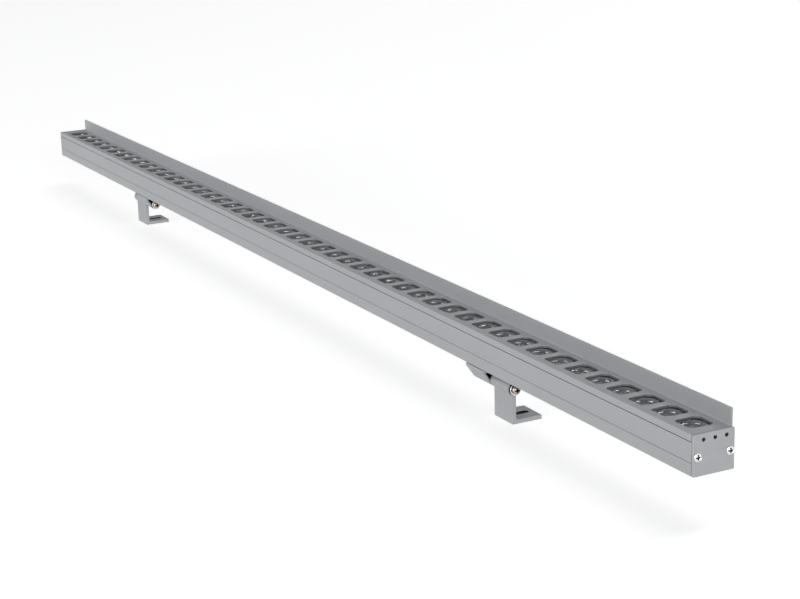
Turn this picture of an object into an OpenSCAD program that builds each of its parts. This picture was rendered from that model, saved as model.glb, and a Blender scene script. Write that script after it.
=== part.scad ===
// Linear wall washer light on two swivel brackets.
// The bar lies along X with its near end at +X. Its windows face up and its front face looks along -Y.
// Inside the bar's own frame X runs from the far cap's outer face, Y from the front face
// and Z from the underside. The module place() moves that frame onto the floor.

/* [Bar] */
// Length over both end caps
bar_l = 1000; // [850:5:1300]
// Width from the front face to the rear face
bar_w = 25; // [24:0.5:28]
// Height from the underside to the top of the cover
bar_h = 22; // [21.5:0.5:28]
// Thickness of the housing's side walls and floor
wall_t = 1.6; // [1.4:0.1:1.8]

/* [Housing] */
// Height of the housing's side walls, up to the seam
housing_h = 17.8; // [17.4:0.1:18.4]
// Height of the fine groove along each side
groove_z = 7; // [4:0.5:9]
// Width of the fine groove
groove_w = 0.5; // [0.3:0.1:0.8]
// Depth of the fine groove
groove_d = 0.4; // [0.2:0.1:0.6]
// Height of the shelf that carries the boards
shelf_z = 12.5; // [12:0.1:12.8]
// Thickness of the shelf
shelf_t = 1.6; // [1.2:0.1:2]
// Diameter of the screw ports that run along both walls
port_d = 4; // [3.6:0.1:4.4]
// Distance of a screw port from the nearest side face
port_y = 2.6; // [2.6:0.05:3]
// Height of the screw ports
port_z = 10.2; // [9.6:0.1:10.4]

/* [Underside slot] */
// Width of the slot's mouth
slot_w = 6; // [5:0.5:7]
// Width of the channel behind the mouth
channel_w = 10.4; // [9.8:0.2:11]
// Height of the channel
channel_h = 3.2; // [3:0.1:3.6]
// Thickness of the channel's walls and roof
channel_wall_t = 1.2; // [1:0.1:1.4]

/* [Cover] */
// Thickness of the cover's top plate
plate_t = 1.6; // [1.2:0.1:1.8]
// Open seam between the cover's lip and the housing
seam_gap = 0.4; // [0.2:0.1:0.6]
// Width of the top plate left on each side of the windows
land_w = 5; // [4.6:0.1:5.5]
// Corner radius of a window
window_r = 3; // [2:0.25:4]
// Height of the glare shield above the top plate
shield_h = 9.6; // [5:0.2:20]
// Thickness of the glare shield
shield_t = 1; // [0.8:0.1:1.5]
// Thickness of the hooks that hold the cover
hook_t = 1.1; // [0.8:0.1:1.2]
// How far the hooks reach below the top plate
hook_reach = 5; // [4.7:0.1:5.2]
// Height of a hook's barb
barb_h = 0.8; // [0.6:0.1:1]
// Depth of a hook's barb
barb_d = 0.7; // [0.4:0.1:0.8]
// Running clearance between the cover and the housing
cover_fit = 0.1; // [0.05:0.05:0.2]

/* [Lenses] */
// Number of lens strips in a row
strip_count = 4; // [4:1:4]
// Number of lenses on a strip
lens_per_strip = 12; // [10:1:12]
// Distance from each end of the bar to the row of strips
run_margin = 8; // [7:0.5:12]
// Offset of the row of strips towards the near end
run_shift = 1.4; // [0:0.1:1.5]
// Gap between a lens dome and the sides of its window
window_fit = 0.4; // [0.3:0.1:1]
// Height of a lens crown above its cylindrical rim
crown_h = 1.5; // [0.5:0.1:2.5]
// How far a crown stands above the top plate
crown_proud = 0.1; // [-0.5:0.1:1]
// Gap between a lens strip's flange and the hooks
lens_gap = 0.5; // [0.4:0.1:0.8]
// Thickness of a lens strip's flange
lens_flange_t = 1.6; // [1.2:0.1:1.8]
// Height of the flange's upper face
lens_flange_z = 17.8; // [17.4:0.1:18]
// Thickness of a lens strip's side skirts
skirt_t = 1.2; // [0.8:0.1:1.4]
// Inset of a collimator's upper end from the dome's rim
collimator_inset = 1.1; // [0.6:0.1:2]
// Diameter of a collimator at its lower end
collimator_low_d = 6.4; // [5.6:0.2:7]
// Diameter of the pocket over an LED
pocket_d = 5; // [4.6:0.1:5.2]
// Depth of the pocket over an LED
pocket_depth = 1.6; // [1.3:0.1:2]
// Gap between two neighbouring strips
strip_gap = 0.2; // [0.1:0.1:0.5]

/* [Boards] */
// Gap between an LED board and the side walls
board_gap = 1.6; // [1.3:0.1:1.7]
// Thickness of an LED board
board_t = 1.6; // [1.2:0.1:1.8]
// Thickness of the thermal strip under the boards
thermal_t = 0.3; // [0.2:0.05:0.4]
// Inset of the thermal strip from the boards' edges
thermal_inset = 1.3; // [0.5:0.1:3]
// Side length of an LED package
led_size = 3; // [2.8:0.1:3]
// Height of an LED package's base
led_h = 0.6; // [0.4:0.05:0.7]
// Diameter of the dome on an LED package
led_dome_d = 2.6; // [2:0.1:2.7]
// Nominal diameter of the board screws
board_screw_d = 2; // [1.8:0.1:2.2]
// Head diameter of the board screws
board_screw_head_d = 4; // [3.4:0.1:4.4]
// Head height of the board screws
board_screw_head_h = 1.2; // [0.8:0.1:1.4]
// Length of a link between two boards
link_l = 7; // [5:0.5:9]
// Width of a link
link_w = 5; // [4:0.5:7]
// Height of a link
link_h = 1.4; // [1:0.1:1.5]

/* [Seals] */
// Width of the seals between the lens strips and the cover
seal_w = 1.4; // [1:0.1:1.5]
// Thickness of an end gasket
gasket_t = 0.5; // [0.3:0.1:0.8]
// Inset of an end gasket from the outer faces
gasket_inset = 0.4; // [0.2:0.1:0.6]
// Side clearance of the end plugs between the hooks
plug_fit = 0.2; // [0.1:0.05:0.3]

/* [End caps] */
// Thickness of an end cap
cap_t = 1.5; // [1.5:0.1:3]
// Corner radius of an end cap
cap_r = 0.6; // [0.3:0.1:1]
// Diameter of a drain hole
drain_d = 2; // [1.4:0.1:2.2]
// Distance of the drain holes below the cap's top edge
drain_drop = 3.1; // [2.9:0.1:3.2]
// Distance from the side faces to the outer drain holes, before the row's offset
drain_edge = 5.5; // [5.3:0.1:7]
// Offset of the row of drain holes towards the rear
drain_shift = 0.5; // [0:0.1:0.5]
// Shank diameter of the cap screws
cap_screw_d = 2; // [1.8:0.1:2.2]
// Head diameter of the cap screws
cap_screw_head_d = 4.5; // [4:0.1:4.7]
// Depth of a cap screw's countersink
cap_screw_sink = 1.1; // [0.9:0.1:1.2]
// How far a cap screw's oval head stands proud
cap_screw_proud = 0.7; // [0.3:0.1:1]
// Length of a cap screw below the cap's face
cap_screw_l = 10; // [7:0.5:16]

/* [Power inlet] */
// Outer diameter of the inlet's thread
inlet_d = 8; // [7:0.5:8]
// How far the inlet stands out of the far cap
inlet_out = 8.5; // [6:0.5:12]
// Width across the flats of the inlet's hexagon
inlet_hex = 10; // [9:0.5:11]
// Thickness of the inlet's hexagon
inlet_hex_t = 2; // [1.5:0.25:3]
// Thickness of the inlet's seal ring
seal_ring_t = 1; // [0.6:0.1:1.4]
// Height of the inlet's axis
inlet_z = 9.6; // [9.6:0.05:9.8]
// Bore of the inlet's shell
inlet_bore_d = 5; // [4.6:0.1:5.2]
// Depth of the insert's face inside the mouth
inlet_depth = 5; // [3:0.25:5.5]
// How far the contact pins stand out of the insert's face
pin_out = 3.3; // [2.5:0.1:3.5]
// Diameter of the part that passes through the far cap
inlet_neck_d = 6.4; // [6.2:0.1:6.6]
// How far that part reaches behind the gasket
inlet_inside = 2; // [1.5:0.25:2.5]
// Radial clearance around that part in the milled pocket
pocket_fit = 0.35; // [0.25:0.05:0.4]
// Depth of the milled pocket in the housing's far end
pocket_run = 6; // [5.5:0.25:7]
// Diameter of a contact pin
pin_d = 1; // [0.8:0.1:1.2]
// Diameter of the circle that the contact pins stand on
pin_circle_d = 2.8; // [2.6:0.1:3]
// Diameter of a supply wire over its insulation
wire_d = 1.2; // [1:0.1:1.3]

/* [Brackets] */
// Distance from each end of the bar to the outer side of its foot
foot_from_end = 185; // [120:1:300]
// Width of a foot along the bar
foot_w = 20.5; // [18:0.5:30]
// Distance of the pivot axis in front of the bar's middle plane
pivot_front = 3.7; // [2.5:0.1:4.1]
// Drop of the pivot axis below the underside
pivot_drop = 7.2; // [7:0.1:9]
// Diameter of the knuckles
knuckle_d = 7.8; // [7.4:0.1:8.6]
// Thickness of the upright and of the foot plate
foot_t = 2.6; // [2:0.1:2.8]
// Height of the underside above the soles
stand_h = 29; // [26:0.5:45]
// Depth of the foot from the upright's front face to its tip
foot_l = 20.2; // [19:0.2:32]
// Width of the screw slot in a foot
foot_slot_w = 4.6; // [4.2:0.1:5.2]
// Length of the screw slot, end to end
foot_slot_l = 11.5; // [9:0.5:12]
// Distance from the slot's end to the foot's tip
foot_slot_edge = 3.2; // [2.5:0.1:4]
// Corner radius of the foot's tip
foot_tip_r = 0.6; // [0.4:0.1:2.5]
// Radius inside the bend between upright and foot
bend_r = 1; // [0.6:0.1:2]
// Corner radius outside the bend
heel_r = 0.4; // [0.2:0.1:1]
// Length of a clamp along the bar
clamp_l = 20.5; // [16:0.5:28]
// Inset of a clamp's flange from the bar's side faces
clamp_inset = 0.5; // [0.5:0.1:1]
// Thickness of a clamp's flange
clamp_t = 1.6; // [1.4:0.1:2]
// Gap between a clamp's flange and the underside
clamp_gap = 0.7; // [0.6:0.1:1]
// Thickness of a clamp's rear wing, where its set screws are
wing_t = 2.6; // [2.2:0.1:3]
// Thickness of a clamp's slanted front wall
slant_t = 1.2; // [1:0.1:1.6]
// Thickness of the web between a clamp's knuckle and its flange
web_t = 2.6; // [2:0.1:3.2]
// Clearance on each side of a clamp's neck in the slot
neck_fit = 0.2; // [0.1:0.05:0.3]
// Clearance on each side of a clamp's head in the channel
head_fit = 0.25; // [0.15:0.05:0.4]
// Clearance under a clamp's head
head_play = 0.1; // [0.05:0.05:0.2]
// Height of a clamp's head
clamp_head_h = 2.6; // [2:0.1:2.8]
// Diameter of the set screws
set_screw_d = 3; // [2.5:0.5:3]
// Length of the set screws
set_screw_l = 4; // [3.5:0.5:6]
// Spacing of the two set screws in a clamp
set_screw_spacing = 10; // [8:0.5:11]
// Distance of the set screws from a clamp's rear edge
set_screw_edge = 5.2; // [3.5:0.1:5.6]
// Radial clearance of a set screw in its thread
set_screw_fit = 0.05; // [0.02:0.01:0.1]

/* [Pivot bolts] */
// Shank diameter of a pivot bolt
pivot_d = 3; // [2.5:0.25:3.5]
// Radial running clearance of a pivot bolt in the knuckles
pivot_fit = 0.05; // [0.02:0.01:0.1]
// Head diameter of a pivot bolt
pivot_head_d = 5.4; // [5.2:0.1:6.2]
// Head height of a pivot bolt
pivot_head_h = 1.9; // [1.6:0.1:2.4]
// Depth of the cross recess in a pivot bolt's head
pivot_recess_depth = 1.1; // [0.8:0.1:1.3]
// Outer diameter of the plain washers
washer_d = 7; // [6:0.2:7.4]
// Thickness of the plain washers
washer_t = 0.8; // [0.5:0.1:1]
// Outer diameter of the spring washers
spring_washer_d = 5.6; // [5:0.1:6]
// Thickness of the spring washers
spring_washer_t = 0.7; // [0.6:0.1:1]
// Thickness of the nylon washers under the plain ones
nylon_t = 1; // [0.6:0.1:1.2]
// Width across the flats of a pivot nut
nut_hex = 5.5; // [5:0.25:6]
// Thickness of a pivot nut
nut_t = 2.2; // [1.8:0.1:2.6]
// Length of bolt that stands out of the nut
bolt_end = 0.8; // [0.4:0.1:2]
// Thickness of the friction washers between the knuckles
friction_t = 0.5; // [0.4:0.1:1]
// Clearance beside each face that turns
side_fit = 0.05; // [0.03:0.01:0.1]

/* [Hidden] */

// Smoothness of round faces, and the overrun of every cut
$fn = 48;
over = 1;
hexagon = 6;

// Arms of a cross recess as shares of the screw head's diameter
recess_width_share = 1 / 6;
recess_length_share = 0.56;

// Finishes as seen in the photograph
silver = "#a9abb0";
pale_steel = "#d8dadd";
clear_lens = "#6d6f76";
black_rubber = "#1d1d1f";
board_green = "#2c3a33";
led_yellow = "#e3d9a0";
brass = "#b89c5a";
wire_red = "#b02a22";
wire_black = "#202022";

// The bar's middle planes and its ends behind caps and gaskets
mid_y = bar_w / 2;
extrusion_x = cap_t + gasket_t;
extrusion_l = bar_l - 2 * extrusion_x;

// The row of strips, the pitch of the lenses and the first lens
run_l = bar_l - 2 * run_margin;
run_x = run_margin + run_shift;
strip_l = run_l / strip_count;
lens_pitch = strip_l / lens_per_strip;

// Levels inside the bar, from the shelf upwards
board_z = shelf_z + thermal_t;
board_top = board_z + board_t;
plate_z = bar_h - plate_t;
lens_flange_low = lens_flange_z - lens_flange_t;

// Hooks and the grooves they sit in
hook_y = wall_t + cover_fit;
hook_low = plate_z - hook_reach;
lip_low = housing_h + seam_gap;

// Widths inside the bar, each from the wall or the hook beside it
hook_in_y = hook_y + hook_t;
flange_y = hook_in_y + lens_gap;
board_y = wall_t + board_gap;
thermal_y = board_y + thermal_inset;
window_size = bar_w - 2 * land_w;
drain_spacing = mid_y - drain_edge;

// Lens domes and the collimators under them
lens_d = window_size - 2 * window_fit;
collimator_d = lens_d - 2 * collimator_inset;
crown_z = bar_h + crown_proud;
rim_z = crown_z - crown_h;
crown_r = (pow(lens_d / 2, 2) + pow(crown_h, 2)) / (2 * crown_h);
collimator_low = board_top + led_h;

// The inlet's inner end, its pocket and the path of its wires
shell_rear = cap_t + gasket_t + inlet_inside;
inlet_pocket_d = inlet_neck_d + 2 * pocket_fit;
wire_bend = wire_d;
wire_straight = wire_d / 4;
rise_x = shell_rear + wire_straight + wire_bend;
wire_top = board_top + wire_d / 2;
wire_end = run_x + 2 * wire_d;

// Pivot hardware: nylon washer, plain washer, spring washer and head, from the face they stand on
nylon_x = side_fit;
washer_x = nylon_x + nylon_t;
spring_x = washer_x + washer_t;
head_x = spring_x + spring_washer_t;

// The clamp and its head in the channel
pivot_y = mid_y - pivot_front;
pivot_z = -pivot_drop;
sole_z = -stand_h;
flange_top = -clamp_gap;
flange_low = flange_top - clamp_t;
wing_low = flange_top - wing_t;
clamp_head_z = wall_t + head_play;
neck_w = slot_w - 2 * neck_fit;
clamp_head_w = channel_w - 2 * head_fit;
clamp_rear_y = bar_w - clamp_inset;
set_screw_at = clamp_rear_y - set_screw_edge;
wing_y = pivot_y + knuckle_d / 2;

// The upright and the foot hang from the pivot axis
upright_y = pivot_y - foot_t / 2;
foot_tip_y = upright_y + foot_l;
slot_rear_y = foot_tip_y - foot_slot_edge - foot_slot_w / 2;
slot_front_y = slot_rear_y - foot_slot_l + foot_slot_w;

// Where each bracket's pieces lie along the bar
joint_gap = friction_t + 2 * side_fit;
near_foot_x = bar_l - foot_from_end - foot_w;
near_clamp_x = near_foot_x - joint_gap - clamp_l;
far_foot_x = foot_from_end;
far_clamp_x = far_foot_x + foot_w + joint_gap;
near_stack_x = near_foot_x + foot_w;
far_stack_x = far_clamp_x + clamp_l;
near_nut_x = near_clamp_x;
far_nut_x = far_foot_x;

// The middle of the whole light, from the inlet's mouth to the near cap's screw heads
x_mid = (bar_l + cap_screw_proud - inlet_out) / 2;
y_mid = foot_tip_y / 2;

module place() translate([-x_mid, -y_mid, stand_h]) children();

// Carries a profile drawn in Y and Z along the bar from x
module along(x, length) translate([x, 0, 0]) rotate([90, 0, 90]) linear_extrude(height = length) children();

// A round bar along X, centred on y and z
module rod(x, length, y, z, d) translate([x, y, z]) rotate([0, 90, 0]) cylinder(h = length, d = d);

// A rectangle from its low corner to its high corner
module span(y0, z0, y1, z1) translate([y0, z0]) square([y1 - y0, z1 - z0]);

// A rectangle with round corners
module round_span(y0, z0, y1, z1, r) {
    span(y0 + r, z0, y1 - r, z1);
    span(y0, z0 + r, y1, z1 - r);
    for (y = [y0 + r, y1 - r], z = [z0 + r, z1 - r]) translate([y, z]) circle(r = r);
}

// Repeats what it is given on the front and the rear half of the section
module both_sides() {
    children();
    translate([bar_w, 0]) mirror([1, 0]) children();
}

// Housing extrusion with its shelf, ports and slot
module housing_profile() {
    channel_half = channel_w / 2;
    block_half = channel_half + channel_wall_t;
    channel_top = wall_t + channel_h;
    difference() {
        union() {
            difference() {
                span(0, 0, bar_w, housing_h);
                span(wall_t, shelf_z, bar_w - wall_t, housing_h + over);
                span(wall_t, wall_t, bar_w - wall_t, shelf_z - shelf_t);
            }
            span(mid_y - block_half, 0, mid_y + block_half, channel_top + channel_wall_t);
            both_sides() port_body();
        }
        span(mid_y - channel_half, wall_t, mid_y + channel_half, channel_top);
        span(mid_y - slot_w / 2, -over, mid_y + slot_w / 2, wall_t + over);
        both_sides() housing_side_cuts();
    }
}

module port_body() {
    translate([port_y, port_z]) circle(d = port_d);
    span(wall_t / 2, port_z - port_d / 2, port_y, port_z + port_d / 2);
}

module housing_side_cuts() {
    translate([port_y, port_z]) circle(d = cap_screw_d + 2 * cover_fit);
    span(-over, groove_z - groove_w / 2, groove_d, groove_z + groove_w / 2);
    span(hook_y - barb_d - cover_fit, hook_low + cover_fit, wall_t + over, hook_low + barb_h + 3 * cover_fit);
}

module lower_housing() color(silver) place() difference() {
    along(extrusion_x, extrusion_l) housing_profile();
    rod(extrusion_x - over, pocket_run + over, mid_y, inlet_z, inlet_pocket_d);
    board_screw_places() translate([0, 0, shelf_z - shelf_t - over])
        cylinder(h = shelf_t + 2 * over, d = board_screw_d + 2 * cover_fit);
}

// Cover extrusion, with the row of windows cut through its plate
module cover_profile() {
    span(0, plate_z, bar_w, bar_h);
    both_sides() cover_side();
    span(bar_w - shield_t, plate_z, bar_w, bar_h + shield_h);
}

module cover_side() {
    span(0, lip_low, hook_in_y, plate_z + plate_t / 2);
    span(hook_y, hook_low, hook_in_y, plate_z + plate_t / 2);
    span(hook_y - barb_d, hook_low + 2 * cover_fit, hook_y + hook_t / 2, hook_low + barb_h + cover_fit);
}

module top_cover() color(silver) place() difference() {
    along(extrusion_x, extrusion_l) cover_profile();
    for (k = [0 : strip_count * lens_per_strip - 1]) translate([lens_x(k), mid_y, plate_z - over])
        linear_extrude(height = plate_t + 2 * over) window();
}

module window() {
    half = window_size / 2;
    round_span(-half, -half, half, half, window_r);
}

function lens_x(k) = run_x + (k + 0.5) * lens_pitch;

// A lens strip: flange, skirts and a row of domes over collimators, with a pocket over each LED
module strip_profile() {
    span(flange_y, lens_flange_low, bar_w - flange_y, lens_flange_z);
    both_sides() span(flange_y, board_top, flange_y + skirt_t, lens_flange_low + lens_flange_t / 2);
}

module lens_body() rotate_extrude() {
    polygon([[0, collimator_low], [collimator_low_d / 2, collimator_low],
        [collimator_d / 2, lens_flange_low], [collimator_d / 2, lens_flange_z], [0, lens_flange_z]]);
    span(0, lens_flange_low, lens_d / 2, rim_z);
    intersection() {
        translate([0, crown_z - crown_r]) circle(r = crown_r, $fn = 4 * $fn);
        span(0, rim_z, lens_d / 2, crown_z);
    }
}

module lens_places(i) for (j = [0 : lens_per_strip - 1])
    translate([lens_x(i * lens_per_strip + j), mid_y, 0]) children();

module lens_strip(i) color(clear_lens) place() difference() {
    union() {
        along(run_x + i * strip_l + strip_gap / 2, strip_l - strip_gap) strip_profile();
        lens_places(i) lens_body();
    }
    lens_places(i) translate([0, 0, collimator_low - over]) cylinder(h = pocket_depth + over, d = pocket_d);
}

// Places of the board screws: two on each board, halfway between two lenses
module board_screw_places() for (i = [0 : strip_count - 1], j = [2, lens_per_strip - 2])
    translate([run_x + i * strip_l + j * lens_pitch, mid_y, 0]) children();

module led_board(i) color(board_green) place() difference() {
    translate([run_x + i * strip_l + strip_gap / 2, board_y, board_z])
        cube([strip_l - strip_gap, bar_w - 2 * board_y, board_t]);
    board_screw_places() translate([0, 0, board_z - over])
        cylinder(h = board_t + 2 * over, d = board_screw_d + 2 * cover_fit);
}

module led_group(i) color(led_yellow) place() lens_places(i) translate([0, 0, board_top]) led_package();

module led_package() {
    translate([-led_size / 2, -led_size / 2, 0]) cube([led_size, led_size, led_h]);
    translate([0, 0, led_h]) intersection() {
        sphere(d = led_dome_d);
        translate([0, 0, led_dome_d / 4]) cube([led_dome_d, led_dome_d, led_dome_d / 2], center = true);
    }
}

module thermal_strip() color("white") place() difference() {
    translate([run_x, thermal_y, shelf_z]) cube([run_l, bar_w - 2 * thermal_y, thermal_t]);
    board_screw_places() translate([0, 0, shelf_z - over])
        cylinder(h = thermal_t + 2 * over, d = board_screw_d + 2 * cover_fit);
}

module board_screws() color(pale_steel) place() board_screw_places() {
    translate([0, 0, board_top]) cylinder(h = board_screw_head_h, d = board_screw_head_d);
    translate([0, 0, shelf_z - shelf_t])
        cylinder(h = board_top + board_screw_head_h / 2 - shelf_z + shelf_t, d = board_screw_d);
}

module board_links() color(black_rubber) place() for (i = [1 : strip_count - 1])
    translate([run_x + i * strip_l - link_l / 2, mid_y - link_w / 2, board_top])
        cube([link_l, link_w, link_h]);

// Long seals between the lens flanges and the cover
module cover_seal(front) {
    edge = flange_y + cover_fit;
    y = front ? edge : bar_w - edge - seal_w;
    translate([run_x, y, lens_flange_z]) cube([run_l, seal_w, plate_z - lens_flange_z]);
}

// End plug: fills the section between shelf and seals, from the gasket to the strip that lies at x
module plug_block(x) {
    y0 = hook_in_y + plug_fit;
    translate([extrusion_x, y0, shelf_z])
        cube([x - extrusion_x, bar_w - 2 * y0, lens_flange_z - shelf_z]);
}

module far_end_plug() color(black_rubber) place() difference() {
    plug_block(run_x);
    translate([extrusion_x - over, mid_y - inlet_pocket_d / 2, shelf_z - over])
        cube([run_x - extrusion_x + 2 * over, inlet_pocket_d, wire_top + wire_d - shelf_z + over]);
}

// End gasket: the outline of the section with the gutter under the cover left open
module gasket_profile() difference() {
    span(gasket_inset, gasket_inset, bar_w - gasket_inset, bar_h - gasket_inset);
    span(hook_in_y, lens_flange_z, bar_w - hook_in_y, plate_z);
    both_sides() translate([port_y, port_z]) circle(d = cap_screw_d + 4 * cover_fit);
}

// End cap: a plate with drain holes and two countersunk screw holes, outer face at x = 0
module cap_plate() difference() {
    along(0, cap_t) round_span(0, 0, bar_w, bar_h, cap_r);
    for (k = [-1 : 1]) rod(-over, cap_t + 2 * over, mid_y + drain_shift + k * drain_spacing,
        bar_h - drain_drop, drain_d);
    cap_screw_places() {
        rod(-over, cap_t + 2 * over, 0, 0, cap_screw_d + 2 * cover_fit);
        rotate([0, 90, 0]) cylinder(h = cap_screw_sink + cover_fit, d1 = cap_screw_head_d + 2 * cover_fit,
            d2 = cap_screw_d + 2 * cover_fit);
    }
}

module cap_screw_places() for (y = [port_y, bar_w - port_y]) translate([0, y, port_z]) children();

// Oval head screw with a cross recess, its rim at x = 0 and its shank along +X
module cap_screw() {
    dome_r = (pow(cap_screw_head_d / 2, 2) + pow(cap_screw_proud, 2)) / (2 * cap_screw_proud);
    rotate([0, 90, 0]) difference() {
        union() {
            cylinder(h = cap_screw_sink, d1 = cap_screw_head_d, d2 = cap_screw_d);
            cylinder(h = cap_screw_l, d = cap_screw_d);
            rotate_extrude() intersection() {
                translate([0, dome_r - cap_screw_proud]) circle(r = dome_r, $fn = 4 * $fn);
                span(0, -cap_screw_proud, cap_screw_head_d / 2, 0);
            }
        }
        translate([0, 0, -cap_screw_proud])
            cross_recess(cap_screw_head_d, cap_screw_proud + cap_screw_sink / 2);
    }
}

// Cross recess of a screw with the given head, cut along +Z from z = 0
module cross_recess(head_d, depth) {
    arm_w = head_d * recess_width_share;
    arm_l = head_d * recess_length_share;
    for (turn = [0, 90]) rotate([0, 0, turn]) translate([-arm_l / 2, -arm_w / 2, -over])
        cube([arm_l, arm_w, depth + over]);
}

module at_near_end() translate([bar_l, 0, 0]) mirror([1, 0, 0]) children();

module near_end_cap() color(silver) place() at_near_end() cap_plate();

module near_cap_screws() color(pale_steel) place() at_near_end() cap_screw_places() cap_screw();

module near_end_gasket() color(black_rubber) place() at_near_end() along(cap_t, gasket_t) gasket_profile();

module far_end_cap() color(silver) place() difference() {
    cap_plate();
    rod(-over, cap_t + 2 * over, mid_y, inlet_z, inlet_neck_d + 2 * cover_fit);
}

module far_end_gasket() color(black_rubber) place() difference() {
    along(cap_t, gasket_t) gasket_profile();
    rod(cap_t - over, gasket_t + 2 * over, mid_y, inlet_z, inlet_pocket_d);
}

// Power inlet: a threaded shell with an insulating insert, pins and a seal ring, in the far cap
module inlet_shell() color(brass) place() difference() {
    union() {
        rod(-inlet_out, inlet_out - seal_ring_t, mid_y, inlet_z, inlet_d);
        translate([-seal_ring_t - inlet_hex_t, mid_y, inlet_z]) rotate([0, 90, 0])
            cylinder(h = inlet_hex_t, d = inlet_hex / cos(180 / hexagon), $fn = hexagon);
        rod(-seal_ring_t - inlet_hex_t, shell_rear + seal_ring_t + inlet_hex_t, mid_y, inlet_z, inlet_neck_d);
    }
    rod(-inlet_out - over, inlet_out + shell_rear + 2 * over, mid_y, inlet_z, inlet_bore_d);
}

module inlet_insert() color(black_rubber) place() difference() {
    rod(-inlet_out + inlet_depth, inlet_out - inlet_depth + shell_rear, mid_y, inlet_z, inlet_bore_d);
    pin_places() rod(-inlet_out, inlet_out + shell_rear + over, 0, 0, pin_d);
}

module pin_places() for (side = [-1, 1]) translate([0, mid_y + side * pin_circle_d / 2, inlet_z]) children();

module inlet_pins() color(brass) place() pin_places()
    rod(-inlet_out + inlet_depth - pin_out, inlet_out - inlet_depth + pin_out + shell_rear, 0, 0, pin_d);

module inlet_seal_ring() color(black_rubber) place() difference() {
    rod(-seal_ring_t, seal_ring_t, mid_y, inlet_z, inlet_hex);
    rod(-seal_ring_t - over, seal_ring_t + 2 * over, mid_y, inlet_z, inlet_neck_d);
}

// Supply wire: out of a pin, up through the milled pocket and onto the first board
module supply_wire(side) place() translate([0, mid_y + side * pin_circle_d / 2, 0]) {
    rod(shell_rear, wire_straight, 0, inlet_z, wire_d);
    translate([rise_x - wire_bend, 0, inlet_z + wire_bend]) wire_corner(-90);
    translate([rise_x, 0, inlet_z + wire_bend]) cylinder(h = wire_top - inlet_z - 2 * wire_bend, d = wire_d);
    translate([rise_x + wire_bend, 0, wire_top - wire_bend]) wire_corner(90);
    rod(rise_x + wire_bend, wire_end - rise_x - wire_bend, 0, wire_top, wire_d);
}

// A quarter bend in the X and Z plane, about its own centre
module wire_corner(start) rotate([90, 0, 0]) rotate([0, 0, start]) rotate_extrude(angle = 90)
    translate([wire_bend, 0]) circle(d = wire_d);

// Clamp: a headed neck in the slot, a flange with a thicker rear wing, a slanted front wall and a
// web that carry the knuckle between them
module clamp_profile() {
    reach_y = pivot_y - clamp_inset;
    reach_z = flange_low - pivot_z;
    reach = norm([reach_y, reach_z]);
    slope = atan2(reach_z, reach_y) + asin(knuckle_d / 2 / reach);
    run = sqrt(pow(reach, 2) - pow(knuckle_d / 2, 2));
    span(clamp_inset, flange_low, clamp_rear_y, flange_top);
    span(wing_y - web_t, wing_low, clamp_rear_y, flange_top);
    translate([clamp_inset, flange_low]) rotate(-slope) square([run, slant_t]);
    translate([pivot_y, pivot_z]) circle(d = knuckle_d);
    span(wing_y - web_t, pivot_z, wing_y, flange_top);
    difference() {
        span(wing_y - web_t / 2, wing_low - bend_r, wing_y + bend_r, wing_low + wing_t / 2);
        translate([wing_y + bend_r, wing_low - bend_r]) circle(r = bend_r);
    }
    span(mid_y - neck_w / 2, flange_low + clamp_t / 2, mid_y + neck_w / 2, clamp_head_z + clamp_head_h / 2);
    span(mid_y - clamp_head_w / 2, clamp_head_z, mid_y + clamp_head_w / 2, clamp_head_z + clamp_head_h);
}

module bracket_clamp(x) color(silver) place() difference() {
    along(x, clamp_l) clamp_profile();
    rod(x - over, clamp_l + 2 * over, pivot_y, pivot_z, pivot_d + 2 * pivot_fit);
    set_screw_places(x) translate([0, 0, wing_low - over])
        cylinder(h = wing_t + 2 * over, d = set_screw_d + 2 * set_screw_fit);
}

module set_screw_places(x) for (side = [-1, 1])
    translate([x + clamp_l / 2 + side * set_screw_spacing / 2, set_screw_at, 0]) children();

module set_screws(x) color("dimgray") place() set_screw_places(x) translate([0, 0, -side_fit - set_screw_l])
    difference() {
        cylinder(h = set_screw_l, d = set_screw_d);
        translate([0, 0, -over]) cylinder(h = over + set_screw_l / 2, d = set_screw_d / 2, $fn = hexagon);
    }

// Foot: a knuckle, an upright and a slotted plate, bent from one section
module foot_profile() {
    inner_y = upright_y + foot_t;
    inner_z = sole_z + foot_t;
    translate([pivot_y, pivot_z]) circle(d = knuckle_d);
    difference() {
        span(upright_y, sole_z, inner_y, pivot_z);
        corner_cut(upright_y, sole_z, heel_r);
    }
    span(upright_y + foot_t / 2, sole_z, foot_tip_y, inner_z);
    difference() {
        span(inner_y - over, inner_z - over, inner_y + bend_r, inner_z + bend_r);
        translate([inner_y + bend_r, inner_z + bend_r]) circle(r = bend_r);
    }
}

// Takes the square outside a quarter circle off a low corner
module corner_cut(y, z, r) difference() {
    span(y - over, z - over, y + r, z + r);
    translate([y + r, z + r]) circle(r = r);
}

module foot_slot() {
    middle = (slot_front_y + slot_rear_y) / 2;
    for (y = [slot_front_y, slot_rear_y]) translate([0, y, 0])
        cylinder(h = foot_t + 2 * over, d = foot_slot_w);
    translate([-foot_slot_w / 2, slot_front_y, 0])
        cube([foot_slot_w, slot_rear_y - slot_front_y, foot_t + 2 * over]);
}

module tip_corner(x, side) translate([x, foot_tip_y, sole_z - over]) mirror([side, 0, 0]) mirror([0, 1, 0])
    linear_extrude(height = foot_t + 2 * over) corner_cut(0, 0, foot_tip_r);

module bracket_foot(x) color(silver) place() difference() {
    along(x, foot_w) foot_profile();
    rod(x - over, foot_w + 2 * over, pivot_y, pivot_z, pivot_d + 2 * pivot_fit);
    translate([x + foot_w / 2, 0, sole_z - over]) foot_slot();
    tip_corner(x, 0);
    tip_corner(x + foot_w, 1);
}

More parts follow.
